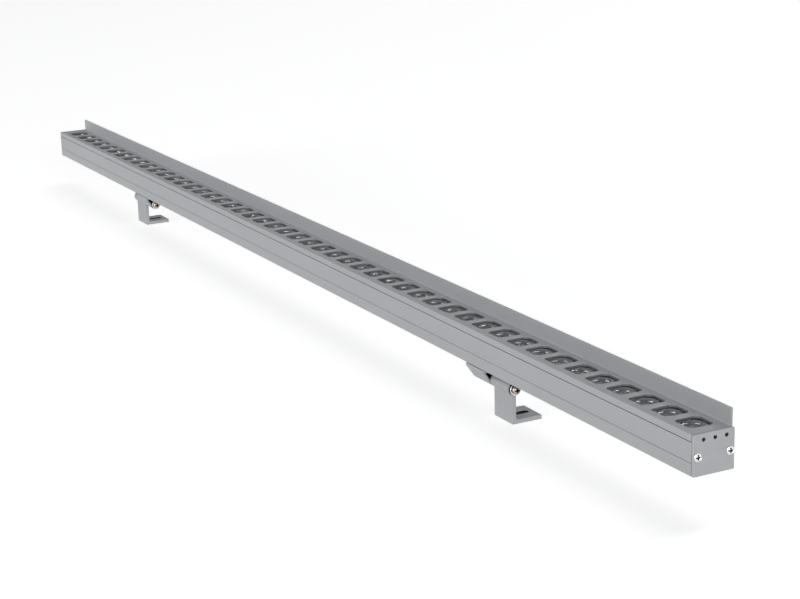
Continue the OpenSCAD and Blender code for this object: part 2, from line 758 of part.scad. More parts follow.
// Pivot hardware. The stack under the head stands on the face at stack_x, the nut on the face at nut_x
module ring(x, length, d) difference() {
    rod(x, length, pivot_y, pivot_z, d);
    rod(x - over, length + 2 * over, pivot_y, pivot_z, pivot_d + 2 * pivot_fit);
}

module pivot_bolt(stack_x, nut_x) color(pale_steel) place() {
    tail_x = nut_x - side_fit - nut_t - bolt_end;
    top_x = stack_x + head_x;
    rod(tail_x, top_x - tail_x + pivot_head_h / 4, pivot_y, pivot_z, pivot_d);
    difference() {
        translate([top_x, pivot_y, pivot_z]) rotate([0, 90, 0]) rotate_extrude() head_outline();
        translate([top_x + pivot_head_h, pivot_y, pivot_z]) rotate([0, -90, 0])
            cross_recess(pivot_head_d, pivot_recess_depth);
    }
}

// Half section of a button head: a short rim and a dome
module head_outline() {
    rim_h = pivot_head_h / 4;
    dome_h = pivot_head_h - rim_h;
    dome_r = (pow(pivot_head_d / 2, 2) + pow(dome_h, 2)) / (2 * dome_h);
    span(0, 0, pivot_head_d / 2, rim_h);
    intersection() {
        translate([0, pivot_head_h - dome_r]) circle(r = dome_r, $fn = 4 * $fn);
        span(0, rim_h, pivot_head_d / 2, pivot_head_h);
    }
}

module pivot_washer(stack_x) color(pale_steel) place() ring(stack_x + washer_x, washer_t, washer_d);

module spring_washer(stack_x) color("dimgray") place() difference() {
    ring(stack_x + spring_x, spring_washer_t, spring_washer_d);
    translate([stack_x + spring_x - over, pivot_y, pivot_z + pivot_d / 2 - over / 2])
        cube([spring_washer_t + 2 * over, spring_washer_t / 2, spring_washer_d]);
}

module pivot_nut(nut_x) color(pale_steel) place() difference() {
    translate([nut_x - side_fit - nut_t, pivot_y, pivot_z]) rotate([0, 90, 0])
        cylinder(h = nut_t, d = nut_hex / cos(180 / hexagon), $fn = hexagon);
    rod(nut_x - nut_t - over, nut_t + 2 * over, pivot_y, pivot_z, pivot_d + 2 * pivot_fit);
}

// One nylon washer between the knuckles and one under the plain washer
module friction_washers(x, stack_x) color(black_rubber) place() {
    ring(x + side_fit, friction_t, knuckle_d);
    ring(stack_x + nylon_x, nylon_t, knuckle_d);
}

lower_housing();
top_cover();
lens_strip(0);  // lens_strip_1
lens_strip(1);  // lens_strip_2
lens_strip(2);  // lens_strip_3
lens_strip(3);  // lens_strip_4
led_board(0);  // led_board_1
led_board(1);  // led_board_2
led_board(2);  // led_board_3
led_board(3);  // led_board_4
led_group(0);  // leds_1
led_group(1);  // leds_2
led_group(2);  // leds_3
led_group(3);  // leds_4
thermal_strip();
board_screws();
board_links();
color(black_rubber) place() cover_seal(true);  // cover_seal_front
color(black_rubber) place() cover_seal(false);  // cover_seal_rear
near_end_cap();
far_end_cap();
near_end_gasket();
far_end_gasket();
color(black_rubber) place() at_near_end()  // near_end_plug
    plug_block(run_margin - run_shift);
far_end_plug();
near_cap_screws();
color(pale_steel) place() cap_screw_places() cap_screw();  // far_cap_screws
inlet_shell();
inlet_insert();
inlet_pins();
inlet_seal_ring();
color(wire_red) supply_wire(1);  // supply_wire_plus
color(wire_black) supply_wire(-1);  // supply_wire_minus
bracket_clamp(near_clamp_x);  // near_bracket_clamp
bracket_clamp(far_clamp_x);  // far_bracket_clamp
set_screws(near_clamp_x);  // near_set_screws
set_screws(far_clamp_x);  // far_set_screws
bracket_foot(near_foot_x);  // near_bracket_foot
bracket_foot(far_foot_x);  // far_bracket_foot
pivot_bolt(near_stack_x, near_nut_x);  // near_pivot_bolt
pivot_bolt(far_stack_x, far_nut_x);  // far_pivot_bolt
pivot_washer(near_stack_x);  // near_pivot_washer
pivot_washer(far_stack_x);  // far_pivot_washer
spring_washer(near_stack_x);  // near_spring_washer
spring_washer(far_stack_x);  // far_spring_washer
pivot_nut(near_nut_x);  // near_pivot_nut
pivot_nut(far_nut_x);  // far_pivot_nut
friction_washers(near_foot_x - joint_gap, near_stack_x);  // near_friction_washers
friction_washers(far_clamp_x - joint_gap, far_stack_x);  // far_friction_washers
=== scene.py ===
"""Looks of a linear wall washer light on two swivel brackets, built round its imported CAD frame.

Sizes are millimetres in the bar's own frame: X runs from the far cap's outer face to the near
one's, Y from the front face to the rear face, and Z up from the underside.
"""
import logging
import math
from dataclasses import dataclass, field
from enum import Enum
from typing import Any, Sequence

import bpy
import numpy as np
from mathutils import Matrix, Vector
from mathutils.geometry import tessellate_polygon

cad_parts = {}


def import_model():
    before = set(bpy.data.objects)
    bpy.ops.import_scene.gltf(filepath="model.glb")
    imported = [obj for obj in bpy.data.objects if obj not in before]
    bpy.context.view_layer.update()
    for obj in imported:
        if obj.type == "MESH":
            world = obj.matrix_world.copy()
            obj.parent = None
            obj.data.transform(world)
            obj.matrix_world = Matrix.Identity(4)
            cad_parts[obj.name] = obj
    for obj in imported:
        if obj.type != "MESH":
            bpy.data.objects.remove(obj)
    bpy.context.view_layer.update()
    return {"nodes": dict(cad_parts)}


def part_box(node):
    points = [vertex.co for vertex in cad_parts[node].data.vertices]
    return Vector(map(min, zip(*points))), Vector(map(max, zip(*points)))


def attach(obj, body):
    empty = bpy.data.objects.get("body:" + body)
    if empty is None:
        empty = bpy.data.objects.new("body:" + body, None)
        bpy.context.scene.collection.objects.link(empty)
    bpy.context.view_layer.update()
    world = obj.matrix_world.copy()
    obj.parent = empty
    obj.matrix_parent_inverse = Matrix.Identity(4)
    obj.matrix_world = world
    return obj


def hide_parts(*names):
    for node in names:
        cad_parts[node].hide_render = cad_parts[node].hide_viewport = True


Array = np.ndarray
Material = bpy.types.Material
Tree = bpy.types.NodeTree
Socket = bpy.types.NodeSocket
MM = 0.001
WELD_MM = 0.001
WELD_SHIFT = 0.4137  # keeps the borders of the weld's grid away from round sizes
TINY = 1e-9
NO_AREA = 1e-20
STRAIGHT = 1e-6  # how close to straight a corner is before its radius is left out, in radians
MARK = "recess"  # the attribute that tells a material where to darken a surface with painted shade, and where acrylic gets a matt frost with a darker tint of painted shade
COLOURS = {"data_type": "RGBA"}
LOG = logging.getLogger("wall_washer")


# ---------------------------------------------------------------- outlines and shells


def outline(corners: Sequence[Sequence[float]], steps: int = 3, closed: bool = True) -> Array:
    """Rounds the corners of an outline.

    A corner of radius r starts r / tan(half its angle) before the point, and its arc turns from the
    one edge's normal to the other's by spherical interpolation about the centre.

    Args:
        corners: Rows of first coordinate, second coordinate and corner radius.
        steps: Number of edges in each rounded corner.
        closed: Whether the last corner joins the first one.

    Returns:
        Points, one row each, with no repeats.
    """
    rows = np.asarray(corners, float)
    point, radius = rows[:, :2], rows[:, 2]
    back, ahead = np.roll(point, 1, 0) - point, np.roll(point, -1, 0) - point
    back /= np.linalg.norm(back, axis=1, keepdims=True)
    ahead /= np.linalg.norm(ahead, axis=1, keepdims=True)
    half = np.arccos(np.clip((back * ahead).sum(1), -1, 1)) / 2
    if not closed:
        radius = radius * np.r_[0, np.ones(len(rows) - 2), 0]
    straight = half > math.pi / 2 - STRAIGHT
    radius = np.where(straight, 0, radius)
    middle = back + ahead
    middle /= np.maximum(np.linalg.norm(middle, axis=1, keepdims=True), TINY)
    centre = point + middle * (radius / np.sin(half))[:, None]
    reach = (radius / np.tan(np.where(straight, 1, half)))[:, None]
    first, last = point + back * reach - centre, point + ahead * reach - centre
    turn = np.maximum(math.pi - 2 * half, TINY)[:, None]
    share = np.linspace(0, 1, steps + 1)[None, :]
    of_first, of_last = (np.sin(part * turn) / np.sin(turn) for part in (1 - share, share))
    arcs = centre[:, None] + of_first[..., None] * first[:, None] + of_last[..., None] * last[:, None]
    arcs = np.where((radius > 0)[:, None, None], arcs, point[:, None])
    points = arcs.reshape(-1, 2)
    gap = np.linalg.norm(points - np.roll(points, 1, 0), axis=1)
    if not closed:
        gap[0] = 1
    return points[gap > WELD_MM / 2]


def arc(centre: tuple[float, float], radius: float, start: float, end: float, steps: int) -> Array:
    """Points on an arc: centre + radius (cos a, sin a).

    Args:
        centre: The arc's centre.
        radius: Its radius.
        start: Its first angle in degrees.
        end: Its last angle in degrees.
        steps: Number of edges.

    Returns:
        Rows of two coordinates and a corner radius of zero, as outline takes them.
    """
    angle = np.radians(np.linspace(start, end, steps + 1))
    return np.column_stack([centre[0] + radius * np.cos(angle), centre[1] + radius * np.sin(angle),
                            np.zeros(steps + 1)])


def rounded_edge(edge: float, steps: int = 3) -> Array:
    """Depth and inset of a quarter round edge: depth = e (1 - cos t), inset = e (1 - sin t)."""
    turn = np.linspace(0, math.pi / 2, steps + 1)
    return np.column_stack([edge * (1 - np.cos(turn)), edge * (1 - np.sin(turn))])


def inward(loop: Array) -> Array:
    """Mitred normals of a closed loop: the sum of both edges' left normals over one plus their product.

    Args:
        loop: Points in two coordinates. Its inside is on the left.

    Returns:
        For each point, the step that moves both of its edges inwards by one.
    """
    ahead = np.roll(loop, -1, 0) - loop
    ahead /= np.linalg.norm(ahead, axis=1, keepdims=True)
    left = np.column_stack([-ahead[:, 1], ahead[:, 0]])
    before = np.roll(left, 1, 0)
    return (left + before) / np.maximum(1 + (left * before).sum(1), 0.2)[:, None]


@dataclass
class Shell:
    """A surface: its points, its faces of three or four corners, and a mark from 0 to 1 at each point."""

    points: Array
    faces: list[Array]
    marks: Array | None = None

    def flipped(self) -> "Shell":
        """The same surface turned inside out."""
        return Shell(self.points, [f[:, ::-1] for f in self.faces], self.marks)

    def moved(self, x: float = 0, y: float = 0, z: float = 0) -> "Shell":
        """The same surface in another place."""
        return Shell(self.points + np.array([x, y, z]), self.faces, self.marks)

    def mirrored(self, plane_x: float) -> "Shell":
        """The surface's mirror image across a plane at plane_x, with its outside kept outside."""
        points = self.points * [-1, 1, 1] + [2 * plane_x, 0, 0]
        return Shell(points, [f[:, ::-1] for f in self.faces], self.marks)

    def welded(self) -> "Shell":
        """Merges points that lie within the weld distance, and turns quads that lose a corner into triangles.

        Returns:
            The closed surface, without the faces that lost more than one corner.
        """
        key = np.floor(self.points / WELD_MM + WELD_SHIFT).astype(np.int64)
        _, first, inverse = np.unique(key, axis=0, return_index=True, return_inverse=True)
        inverse = inverse.reshape(-1)
        kept: list[Array] = []
        for faces in self.faces:
            merged = inverse[faces]
            same = merged == np.roll(merged, -1, 1)
            kept.append(merged[~same.any(1)])
            if faces.shape[1] == 4:
                single = same.sum(1) == 1
                kept.append(merged[single][~same[single]].reshape(-1, 3))
        marks = None if self.marks is None else self.marks[first]
        return Shell(self.points[first], [f for f in kept if len(f)], marks)


def joined(*shells: Shell) -> Shell:
    """Puts several surfaces into one, without joining them at their borders.

    Args:
        *shells: The surfaces.

    Returns:
        One surface. Where any has marks, those without are marked zero.
    """
    starts = np.cumsum([0] + [len(s.points) for s in shells])
    faces = [f + start for s, start in zip(shells, starts) for f in s.faces]
    marks = None
    if any(s.marks is not None for s in shells):
        marks = np.concatenate([np.zeros(len(s.points)) if s.marks is None else s.marks for s in shells])
    return Shell(np.concatenate([s.points for s in shells]), faces, marks)


def sheet(points: Array, wrap_rows: bool = False, wrap_cols: bool = True, marks: Array | None = None) -> Shell:
    """A surface on a grid of points. Its outside is on the side of the column direction times the row direction.

    Args:
        points: Rows by columns by three coordinates.
        wrap_rows: Whether the last row joins the first one.
        wrap_cols: Whether the last column joins the first one.
        marks: A value from 0 to 1 for each point.

    Returns:
        The surface, in quads.
    """
    rows, cols = points.shape[:2]
    row, col = np.arange(rows - (not wrap_rows)), np.arange(cols - (not wrap_cols))
    here, above = (row * cols)[:, None], (((row + 1) % rows) * cols)[:, None]
    left, right = col[None], ((col + 1) % cols)[None]
    quads = np.stack([here + left, here + right, above + right, above + left], -1).reshape(-1, 4)
    return Shell(points.reshape(-1, 3), [quads], None if marks is None else marks.reshape(-1))


def flat_face(loops: Sequence[Array], facing: Sequence[float]) -> Shell:
    """Fills a flat area with triangles.

    Args:
        loops: The area's border, then the borders of its holes, as rows of three coordinates.
        facing: The direction that the area faces.

    Returns:
        The filled area.
    """
    points = np.concatenate(loops)
    rows = tessellate_polygon([[Vector(p) for p in loop] for loop in loops])
    corners = np.array(rows, int).reshape(-1, 3)
    a, b, c = (points[corners[:, k]] for k in range(3))
    side = np.cross(b - a, c - a) @ np.asarray(facing, float)
    corners[side < 0] = corners[side < 0][:, ::-1]
    return Shell(points, [corners[np.abs(side) > TINY]])


def on_x(loop: Array, x: float | Array) -> Array:
    """Stands an outline in Y and Z at x, or one copy of it at each x.

    Args:
        loop: The outline, or one outline for each x.
        x: One place, or several.

    Returns:
        The outline's points in three coordinates, or rows of them.
    """
    x = np.asarray(x, float)
    flat = np.broadcast_to(loop, x.shape + loop.shape[-2:])
    return np.concatenate([np.broadcast_to(x[..., None, None], flat.shape[:-1] + (1,)), flat], -1)


def edged_wall(loop: Array, x0: float, x1: float, edge0: float, edge1: float, steps: int = 3) -> Array:
    """Rings of a wall that carries a loop from x0 to x1 and draws it in by a quarter round at both ends.

    Args:
        loop: The loop in Y and Z.
        x0: Where the wall starts.
        x1: Where it ends.
        edge0: Radius of the quarter round at its start.
        edge1: Radius of the quarter round at its end.
        steps: Number of edges in each quarter round.

    Returns:
        Rings by points by three coordinates.
    """
    low, high = rounded_edge(edge0, steps), rounded_edge(edge1, steps)[::-1]
    x = np.r_[x0 + low[:, 0], x1 - high[:, 0]]
    inset = np.r_[low[:, 1], high[:, 1]]
    return on_x(loop[None] + inset[:, None, None] * inward(loop)[None], x)


def bore_wall(y: float, z: float, stations: Sequence[tuple[float, float]], count: int = 32) -> Array:
    """Rings of a round hole along X. They run clockwise, as a hole's border does.

    Args:
        y: Y of the hole's axis.
        z: Z of the hole's axis.
        stations: The x and the radius of each ring.
        count: Points on a ring.

    Returns:
        Rings by points by three coordinates.
    """
    x, radius = np.asarray(stations, float).T
    angle = -np.arange(count) / count * 2 * math.pi
    ring = np.stack([y + radius[:, None] * np.cos(angle), z + radius[:, None] * np.sin(angle)], -1)
    return on_x(ring, x)


def between(walls: Sequence[Array], dark: Sequence[int] = ()) -> Shell:
    """A solid from its outer wall and the walls of its holes, closed by a flat face at each end.

    Args:
        walls: Rings of the outer wall, then of each hole.
        dark: Numbers of the holes whose walls are marked for painted shade, because no light gets into them.

    Returns:
        The closed solid.
    """
    start = flat_face([w[0] for w in walls], (-1, 0, 0))
    end = flat_face([w[-1] for w in walls], (1, 0, 0))
    # painted shade: the walls of the dark holes are marked 1
    sides = [sheet(w, marks=np.full(w.shape[:2], float(i in dark))) for i, w in enumerate(walls)]
    return joined(start, end, *sides)


class Facing(Enum):
    """Which way a turned piece's axis points, as the directions of its height and its two sides."""

    NEAR = ((1, 0, 0), (0, 1, 0), (0, 0, 1))
    FAR = ((-1, 0, 0), (0, -1, 0), (0, 0, 1))
    UP = ((0, 0, 1), (1, 0, 0), (0, 1, 0))
    DOWN = ((0, 0, -1), (0, 1, 0), (1, 0, 0))


def turned(height: Array, radius: Array, origin: Sequence[float], facing: Facing, count: int = 48,
           marks: Array | None = None, wrap: bool = False) -> Shell:
    """A turned piece: point = origin + height along the axis + radius (cos a, sin a) across it.

    Args:
        height: Heights of the rings, or of each point on them.
        radius: Radii of the rings, or of each point on them.
        origin: The place of height zero on the axis.
        facing: The direction of the axis.
        count: Points on a ring.
        marks: A value from 0 to 1 for each point.
        wrap: Whether the last ring joins the first one, as on a washer.

    Returns:
        The surface. Its outside is right when the rings run up the outside of the piece.
    """
    angle = np.arange(count) / count * 2 * math.pi
    height = np.broadcast_to(height if np.ndim(height) == 2 else np.asarray(height)[:, None],
                             (len(height), count))
    radius = np.broadcast_to(radius if np.ndim(radius) == 2 else np.asarray(radius)[:, None],
                             (len(radius), count))
    local = np.stack([height, radius * np.cos(angle), radius * np.sin(angle)], -1)
    return sheet(local @ np.array(facing.value, float) + np.asarray(origin, float), wrap, True, marks)


def washer(inner: float, outer: float, low: float, high: float, edge: float, origin: Sequence[float],
           facing: Facing) -> Shell:
    """A flat ring with rounded edges.

    Args:
        inner: Radius of its bore.
        outer: Its outer radius.
        low: Height of its lower face.
        high: Height of its upper face.
        edge: Radius of its edges.
        origin: The place of height zero on the axis.
        facing: The direction of the axis.

    Returns:
        The ring's surface.
    """
    loop = outline([(low, inner, edge), (low, outer, edge), (high, outer, edge), (high, inner, edge)])
    return turned(loop[:, 0], loop[:, 1], origin, facing, 64, wrap=True)


def thread(height: Array, count: int, pitch: float, depth: float) -> Array:
    """How far a screw thread dips below its crest: a triangle wave of height over pitch less turn.

    Args:
        height: Heights of the rings.
        count: Points on a ring.
        pitch: The thread's pitch.
        depth: Its depth.

    Returns:
        Rings by points. The wave is cut off at both ends, so that crest and root have small flats.
    """
    turn = np.arange(count) / count
    wave = np.abs(((height[:, None] / pitch - turn[None]) % 1) * 2 - 1)
    flat = 0.1
    return depth * np.clip((1 + 2 * flat) * wave - flat, 0, 1)


def hexagon(flats: float, count: int) -> Array:
    """Radius of a hexagon at each angle: half its width across flats over the cosine from the flat's middle."""
    angle = np.arange(count) / count * 2 * math.pi
    return flats / 2 / np.cos((angle + math.pi / 6) % (math.pi / 3) - math.pi / 6)


def chamfered_hexagon(flats: float, low: float, high: float, cone: float, chamfer: Sequence[tuple[float, float]],
                      count: int) -> tuple[Array, Array]:
    """A hexagon with chamfered corners: its radius is the smaller of the hexagon's and a cone's.

    Args:
        flats: Its width across flats.
        low: Height of its lower face.
        high: Height of its upper face.
        cone: The cone's radius over half the width across flats.
        chamfer: How far each ring lies from the nearer face, and how much the cone has grown there.
        count: Points on a ring.

    Returns:
        Heights of the rings, and radii of the points on them.
    """
    step, grow = np.asarray(chamfer, float).T
    radius = flats / 2 * cone + np.r_[grow, grow[::-1]]
    return np.r_[low + step, (high - step)[::-1]], np.minimum(hexagon(flats, count)[None], radius[:, None])


# ---------------------------------------------------------------- pieces on the frame


def shade_corners(mesh: bpy.types.Mesh, sharp: float) -> None:
    """Gives each face corner the mean normal of the faces round its point, weighted by their areas.

    Faces that turn away by more than the sharp angle are left out, so a broad flat face stays flat
    beside its small round edge, and a crease stays crisp.

    Args:
        mesh: The mesh to shade.
        sharp: The sharp angle in degrees.
    """
    total, count = len(mesh.loops), len(mesh.polygons)
    point, size = np.empty(total, np.int64), np.empty(count, np.int64)
    normal, area = np.empty(count * 3), np.empty(count)
    mesh.loops.foreach_get("vertex_index", point)
    mesh.polygons.foreach_get("loop_total", size)
    mesh.polygons.foreach_get("normal", normal)
    mesh.polygons.foreach_get("area", area)
    normal = normal.reshape(-1, 3)
    face = np.repeat(np.arange(count), size)
    order = np.argsort(point, kind="stable")
    shared = np.bincount(point, minlength=len(mesh.vertices))
    begin = np.r_[0, np.cumsum(shared)[:-1]]
    pairs = shared[point]
    left = np.repeat(np.arange(total), pairs)
    step = np.arange(pairs.sum()) - np.repeat(np.cumsum(pairs) - pairs, pairs)
    right = order[np.repeat(begin[point], pairs) + step]
    own, other = face[left], face[right]
    near = (normal[own] * normal[other]).sum(1) > math.cos(math.radians(sharp))
    weight = area[other] * near
    mean = np.stack([np.bincount(left, weight * normal[other][:, k], minlength=total) for k in range(3)], -1)
    mean /= np.maximum(np.linalg.norm(mean, axis=1, keepdims=True), NO_AREA)
    mesh.polygons.foreach_set("use_smooth", np.ones(count, bool))
    mesh.normals_split_custom_set(mean.tolist())


def put(name: str, data: bpy.types.ID) -> bpy.types.Object:
    """Puts a new object into the scene.

    Args:
        name: The object's name.
        data: Its mesh, lamp or camera.

    Returns:
        The object.
    """
    made = bpy.data.objects.new(name, data)
    bpy.context.scene.collection.objects.link(made)
    return made


@dataclass
class Workshop:
    """Turns shells into finished objects on the frame's bodies.

    Its origin is the bar's own frame in metres, and its nodes are the CAD nodes by name.
    """

    origin: Array
    nodes: dict[str, bpy.types.Object]

    def mesh(self, name: str, shell: Shell) -> bpy.types.Mesh:
        """Makes a mesh in the row's frame: point = origin + millimetres / 1000.

        Args:
            name: The mesh's name.
            shell: Its surface in millimetres.

        Returns:
            The mesh, with the shell's marks.
        """
        shell = shell.welded()
        mesh = bpy.data.meshes.new(name)
        faces = [f for part in shell.faces for f in part.tolist()]
        mesh.from_pydata((self.origin + shell.points * MM).tolist(), [], faces)
        mesh.update(calc_edges=True)
        if shell.marks is not None:
            mark = mesh.attributes.new(MARK, "FLOAT", "POINT")
            mark.data.foreach_set("value", shell.marks.astype(np.float32))
        return mesh

    def cut(self, target: bpy.types.Object, cutter: Shell) -> None:
        """Takes a volume out of an object by an exact boolean, and keeps the result as its mesh.

        Args:
            target: The object.
            cutter: The volume's closed surface in millimetres.
        """
        tool = put("cutter", self.mesh("cutter", cutter))
        step = target.modifiers.new("cut", "BOOLEAN")
        step.operation, step.solver, step.object = "DIFFERENCE", "EXACT", tool
        bpy.context.view_layer.update()
        done = target.evaluated_get(bpy.context.evaluated_depsgraph_get())
        cut_mesh = bpy.data.meshes.new_from_object(done)
        target.modifiers.clear()
        target.data = cut_mesh
        bpy.data.objects.remove(tool)

    def mark_box(self, mesh: bpy.types.Mesh, low: Sequence[float], high: Sequence[float]) -> None:
        """Marks the faces whose centres lie in a box for painted shade, and no others.

        Args:
            mesh: The mesh to mark.
            low: The box's low corner in the bar's frame.
            high: Its high corner.
        """
        old = mesh.attributes.get(MARK)
        if old is not None:
            mesh.attributes.remove(old)
        centre = np.empty(len(mesh.polygons) * 3)
        mesh.polygons.foreach_get("center", centre)
        place = (centre.reshape(-1, 3) - self.origin) / MM
        inside = ((place > np.asarray(low)) & (place < np.asarray(high))).all(1)
        mark = mesh.attributes.new(MARK, "FLOAT", "FACE")
        mark.data.foreach_set("value", inside.astype(np.float32))

    def add(self, name: str, shell: Shell, finish: Material, body: str, slot: str,
            replaces: Sequence[str], sharp: float = 42, cutter: Shell | None = None,
            dark: tuple[Sequence[float], Sequence[float]] | None = None) -> bpy.types.Object:
        """Makes a piece, dresses it and hangs it on its body.

        Args:
            name: The piece's name.
            shell: Its surface in millimetres.
            finish: Its material.
            body: The CAD body that it rides on.
            slot: The record's material slot; not used.
            replaces: The CAD nodes that it stands for.
            sharp: Angle in degrees past which an edge stays crisp.
            cutter: A volume to take out of it.
            dark: Two corners of a box whose faces are marked for painted shade.

        Returns:
            The finished object.
        """
        piece = put(name, self.mesh(name, shell))
        if cutter is not None:
            self.cut(piece, cutter)
        if dark is not None:
            self.mark_box(piece.data, *dark)
        piece.data.materials.clear()
        piece.data.materials.append(finish)
        shade_corners(piece.data, sharp)
        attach(piece, body)
        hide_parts(*replaces)
        LOG.info("%s: %d faces on %s", name, len(piece.data.polygons), body)
        return piece

    def dress(self, node: str, finish: Material) -> None:
        """Gives a CAD node a better material and leaves its mesh alone.

        Args:
            node: The node's name.
            finish: Its material.
        """
        piece = self.nodes[node]
        piece.data.materials.clear()
        piece.data.materials.append(finish)
        LOG.info("%s: CAD node in %s", node, finish.name)


# ---------------------------------------------------------------- finishes


def linear(colour: str) -> tuple[float, float, float, float]:
    """Linear RGBA from an sRGB hex colour: ((c + 0.055) / 1.055) ** 2.4 above 0.04045, else c / 12.92."""
    parts = [int(colour[i:i + 2], 16) / 255 for i in (1, 3, 5)]
    red, green, blue = (c / 12.92 if c <= 0.04045 else ((c + 0.055) / 1.055) ** 2.4 for c in parts)
    return red, green, blue, 1.0


def feed(tree: Tree, node: bpy.types.Node, inputs: dict) -> None:
    """Sets a node's inputs.

    Args:
        tree: The node's tree.
        node: The node.
        inputs: For each input, by name or number, a value, an sRGB hex colour or the output
            socket that feeds it.
    """
    for key, value in inputs.items():
        if isinstance(value, Socket):
            tree.links.new(value, node.inputs[key])
        else:
            node.inputs[key].default_value = linear(value) if isinstance(value, str) else value


def add_node(tree: Tree, kind: str, settings: dict | None = None, inputs: dict | None = None) -> bpy.types.Node:
    """Adds a node to a tree.

    Args:
        tree: The node tree.
        kind: The node's type name.
        settings: Values of the node's own properties.
        inputs: Its inputs, as feed takes them.

    Returns:
        The new node.
    """
    node = tree.nodes.new(kind)
    for key, value in (settings or {}).items():
        setattr(node, key, value)
    feed(tree, node, inputs or {})
    return node


def pattern(tree: Tree, place: Socket, size_mm: Sequence[float], detail: float) -> Socket:
    """A cloudy pattern at a real size.

    Args:
        tree: The node tree.
        place: The coordinates that it is laid on.
        size_mm: About how long its features are in X, Y and Z.
        detail: How many finer layers it has.

    Returns:
        Its value, from 0 to 1.
    """
    scaled = add_node(tree, "ShaderNodeMapping", inputs={0: place, 3: [1 / (s * MM) for s in size_mm]})
    cloud = add_node(tree, "ShaderNodeTexNoise",
                     inputs={"Vector": scaled.outputs[0], "Scale": 1.0, "Detail": detail})
    return cloud.outputs[0]


def roughen(tree: Tree, shader: bpy.types.Node, grain: Socket, roughness: tuple[float, float], strength: float,
            depth_mm: float) -> None:
    """Lets a grain vary a shader's roughness and raise its surface a little.

    Args:
        tree: The node tree.
        shader: The Principled shader.
        grain: The grain, from 0 to 1.
        roughness: The roughness where the grain is 0 and where it is 1.
        strength: Strength of the bump.
        depth_mm: Its real depth.
    """
    gloss = add_node(tree, "ShaderNodeMapRange", inputs={0: grain, 3: roughness[0], 4: roughness[1]})
    bump = add_node(tree, "ShaderNodeBump",
                    inputs={"Strength": strength, "Distance": depth_mm * MM, "Height": grain})
    feed(tree, shader, {"Roughness": gloss.outputs[0], "Normal": bump.outputs[0]})


def blank(name: str) -> tuple[Material, Tree, bpy.types.Node, Socket]:
    """Starts a material.

    Args:
        name: The material's name.

    Returns:
        The material, its tree, its Principled shader and the Object coordinates.
    """
    made = bpy.data.materials.new(name)
    made.use_nodes = True
    tree = made.node_tree
    place = add_node(tree, "ShaderNodeTexCoord").outputs["Object"]
    return made, tree, tree.nodes["Principled BSDF"], place


@dataclass(frozen=True)
class AnodisedAluminium:
    """Extruded or milled 6063 aluminium, satin etched and clear anodised.

    The etch scatters its gloss into a soft grey, the die leaves faint lines along the bar, and the
    grain of the etch shows as a fine change of gloss. Marked walls of narrow holes and hollows are
    darkened by painted shade, mixed towards the hollow colour.
    """

    name: str
    colour: str = "#b9babd"
    tint: str = "#b0b1b4"
    # painted shade: the colour that marked walls of holes and hollows are darkened towards
    hollow: str = "#070708"
    roughness: tuple[float, float] = (0.48, 0.58)
    metallic: float = 0.4
    line_mm: tuple[float, float, float] = (260.0, 0.5, 0.5)
    line_share: float = 0.6
    grain_mm: float = 0.35
    cloud_mm: tuple[float, float, float] = (90, 14, 14)
    bump: float = 0.35
    bump_mm: float = 0.004

    def build(self) -> Material:
        """Makes the material. Its gloss is the die's lines and the etch's grain, added by their shares.

        Returns:
            The material.
        """
        made, tree, shader, place = blank(self.name)
        lines = pattern(tree, place, self.line_mm, 3)
        grain = pattern(tree, place, (self.grain_mm,) * 3, 1)
        cloud = pattern(tree, place, self.cloud_mm, 2)
        part = add_node(tree, "ShaderNodeMath", {"operation": "MULTIPLY"}, {0: lines, 1: self.line_share})
        both = add_node(tree, "ShaderNodeMath", {"operation": "MULTIPLY_ADD"},
                        {0: grain, 1: 1 - self.line_share, 2: part.outputs[0]})
        mark = add_node(tree, "ShaderNodeAttribute", {"attribute_name": MARK})
        skin = add_node(tree, "ShaderNodeMix", COLOURS, {0: cloud, 6: self.tint, 7: self.colour})
        # painted shade: the mark mixes the colour towards the hollow colour
        colour = add_node(tree, "ShaderNodeMix", COLOURS,
                          {0: mark.outputs["Fac"], 6: skin.outputs[2], 7: self.hollow})
        feed(tree, shader, {"Base Color": colour.outputs[2], "Metallic": self.metallic})
        roughen(tree, shader, both.outputs[0], self.roughness, self.bump, self.bump_mm)
        return made


@dataclass(frozen=True)
class BrightMetal:
    """Turned or cold-headed metal, polished by tumbling.

    Its gloss is tight, with a little unevenness from the tumbling, and its recesses hold no light.
    """

    name: str
    colour: str
    shadow: str
    roughness: tuple[float, float] = (0.14, 0.26)
    grain_mm: float = 0.4
    bump: float = 0.2
    bump_mm: float = 0.003

    def build(self) -> Material:
        """Makes the material. Marked recesses take its shadow's colour.

        Returns:
            The material.
        """
        made, tree, shader, place = blank(self.name)
        grain = pattern(tree, place, (self.grain_mm,) * 3, 3)
        mark = add_node(tree, "ShaderNodeAttribute", {"attribute_name": MARK})
        colour = add_node(tree, "ShaderNodeMix", COLOURS, {0: mark.outputs["Fac"], 6: self.colour, 7: self.shadow})
        feed(tree, shader, {"Base Color": colour.outputs[2], "Metallic": 1.0})
        roughen(tree, shader, grain, self.roughness, self.bump, self.bump_mm)
        return made


@dataclass(frozen=True)
class MouldedPlastic:
    """Moulded plastic or rubber: one colour with a faint flow, and the fine grain of its mould."""

    name: str
    colour: str
    flow: str
    roughness: tuple[float, float] = (0.45, 0.6)
    grain_mm: float = 0.25
    bump_mm: float = 0.01
    bump: float = 0.3
    flow_mm: float = 6

    def build(self) -> Material:
        """Makes the material. Its colour wanders towards the flow's in a wide cloud.

        Returns:
            The material.
        """
        made, tree, shader, place = blank(self.name)
        grain = pattern(tree, place, (self.grain_mm,) * 3, 3)
        cloud = pattern(tree, place, (self.flow_mm,) * 3, 2)
        colour = add_node(tree, "ShaderNodeMix", COLOURS, {0: cloud, 6: self.colour, 7: self.flow})
        feed(tree, shader, {"Base Color": colour.outputs[2]})
        roughen(tree, shader, grain, self.roughness, self.bump, self.bump_mm)
        return made


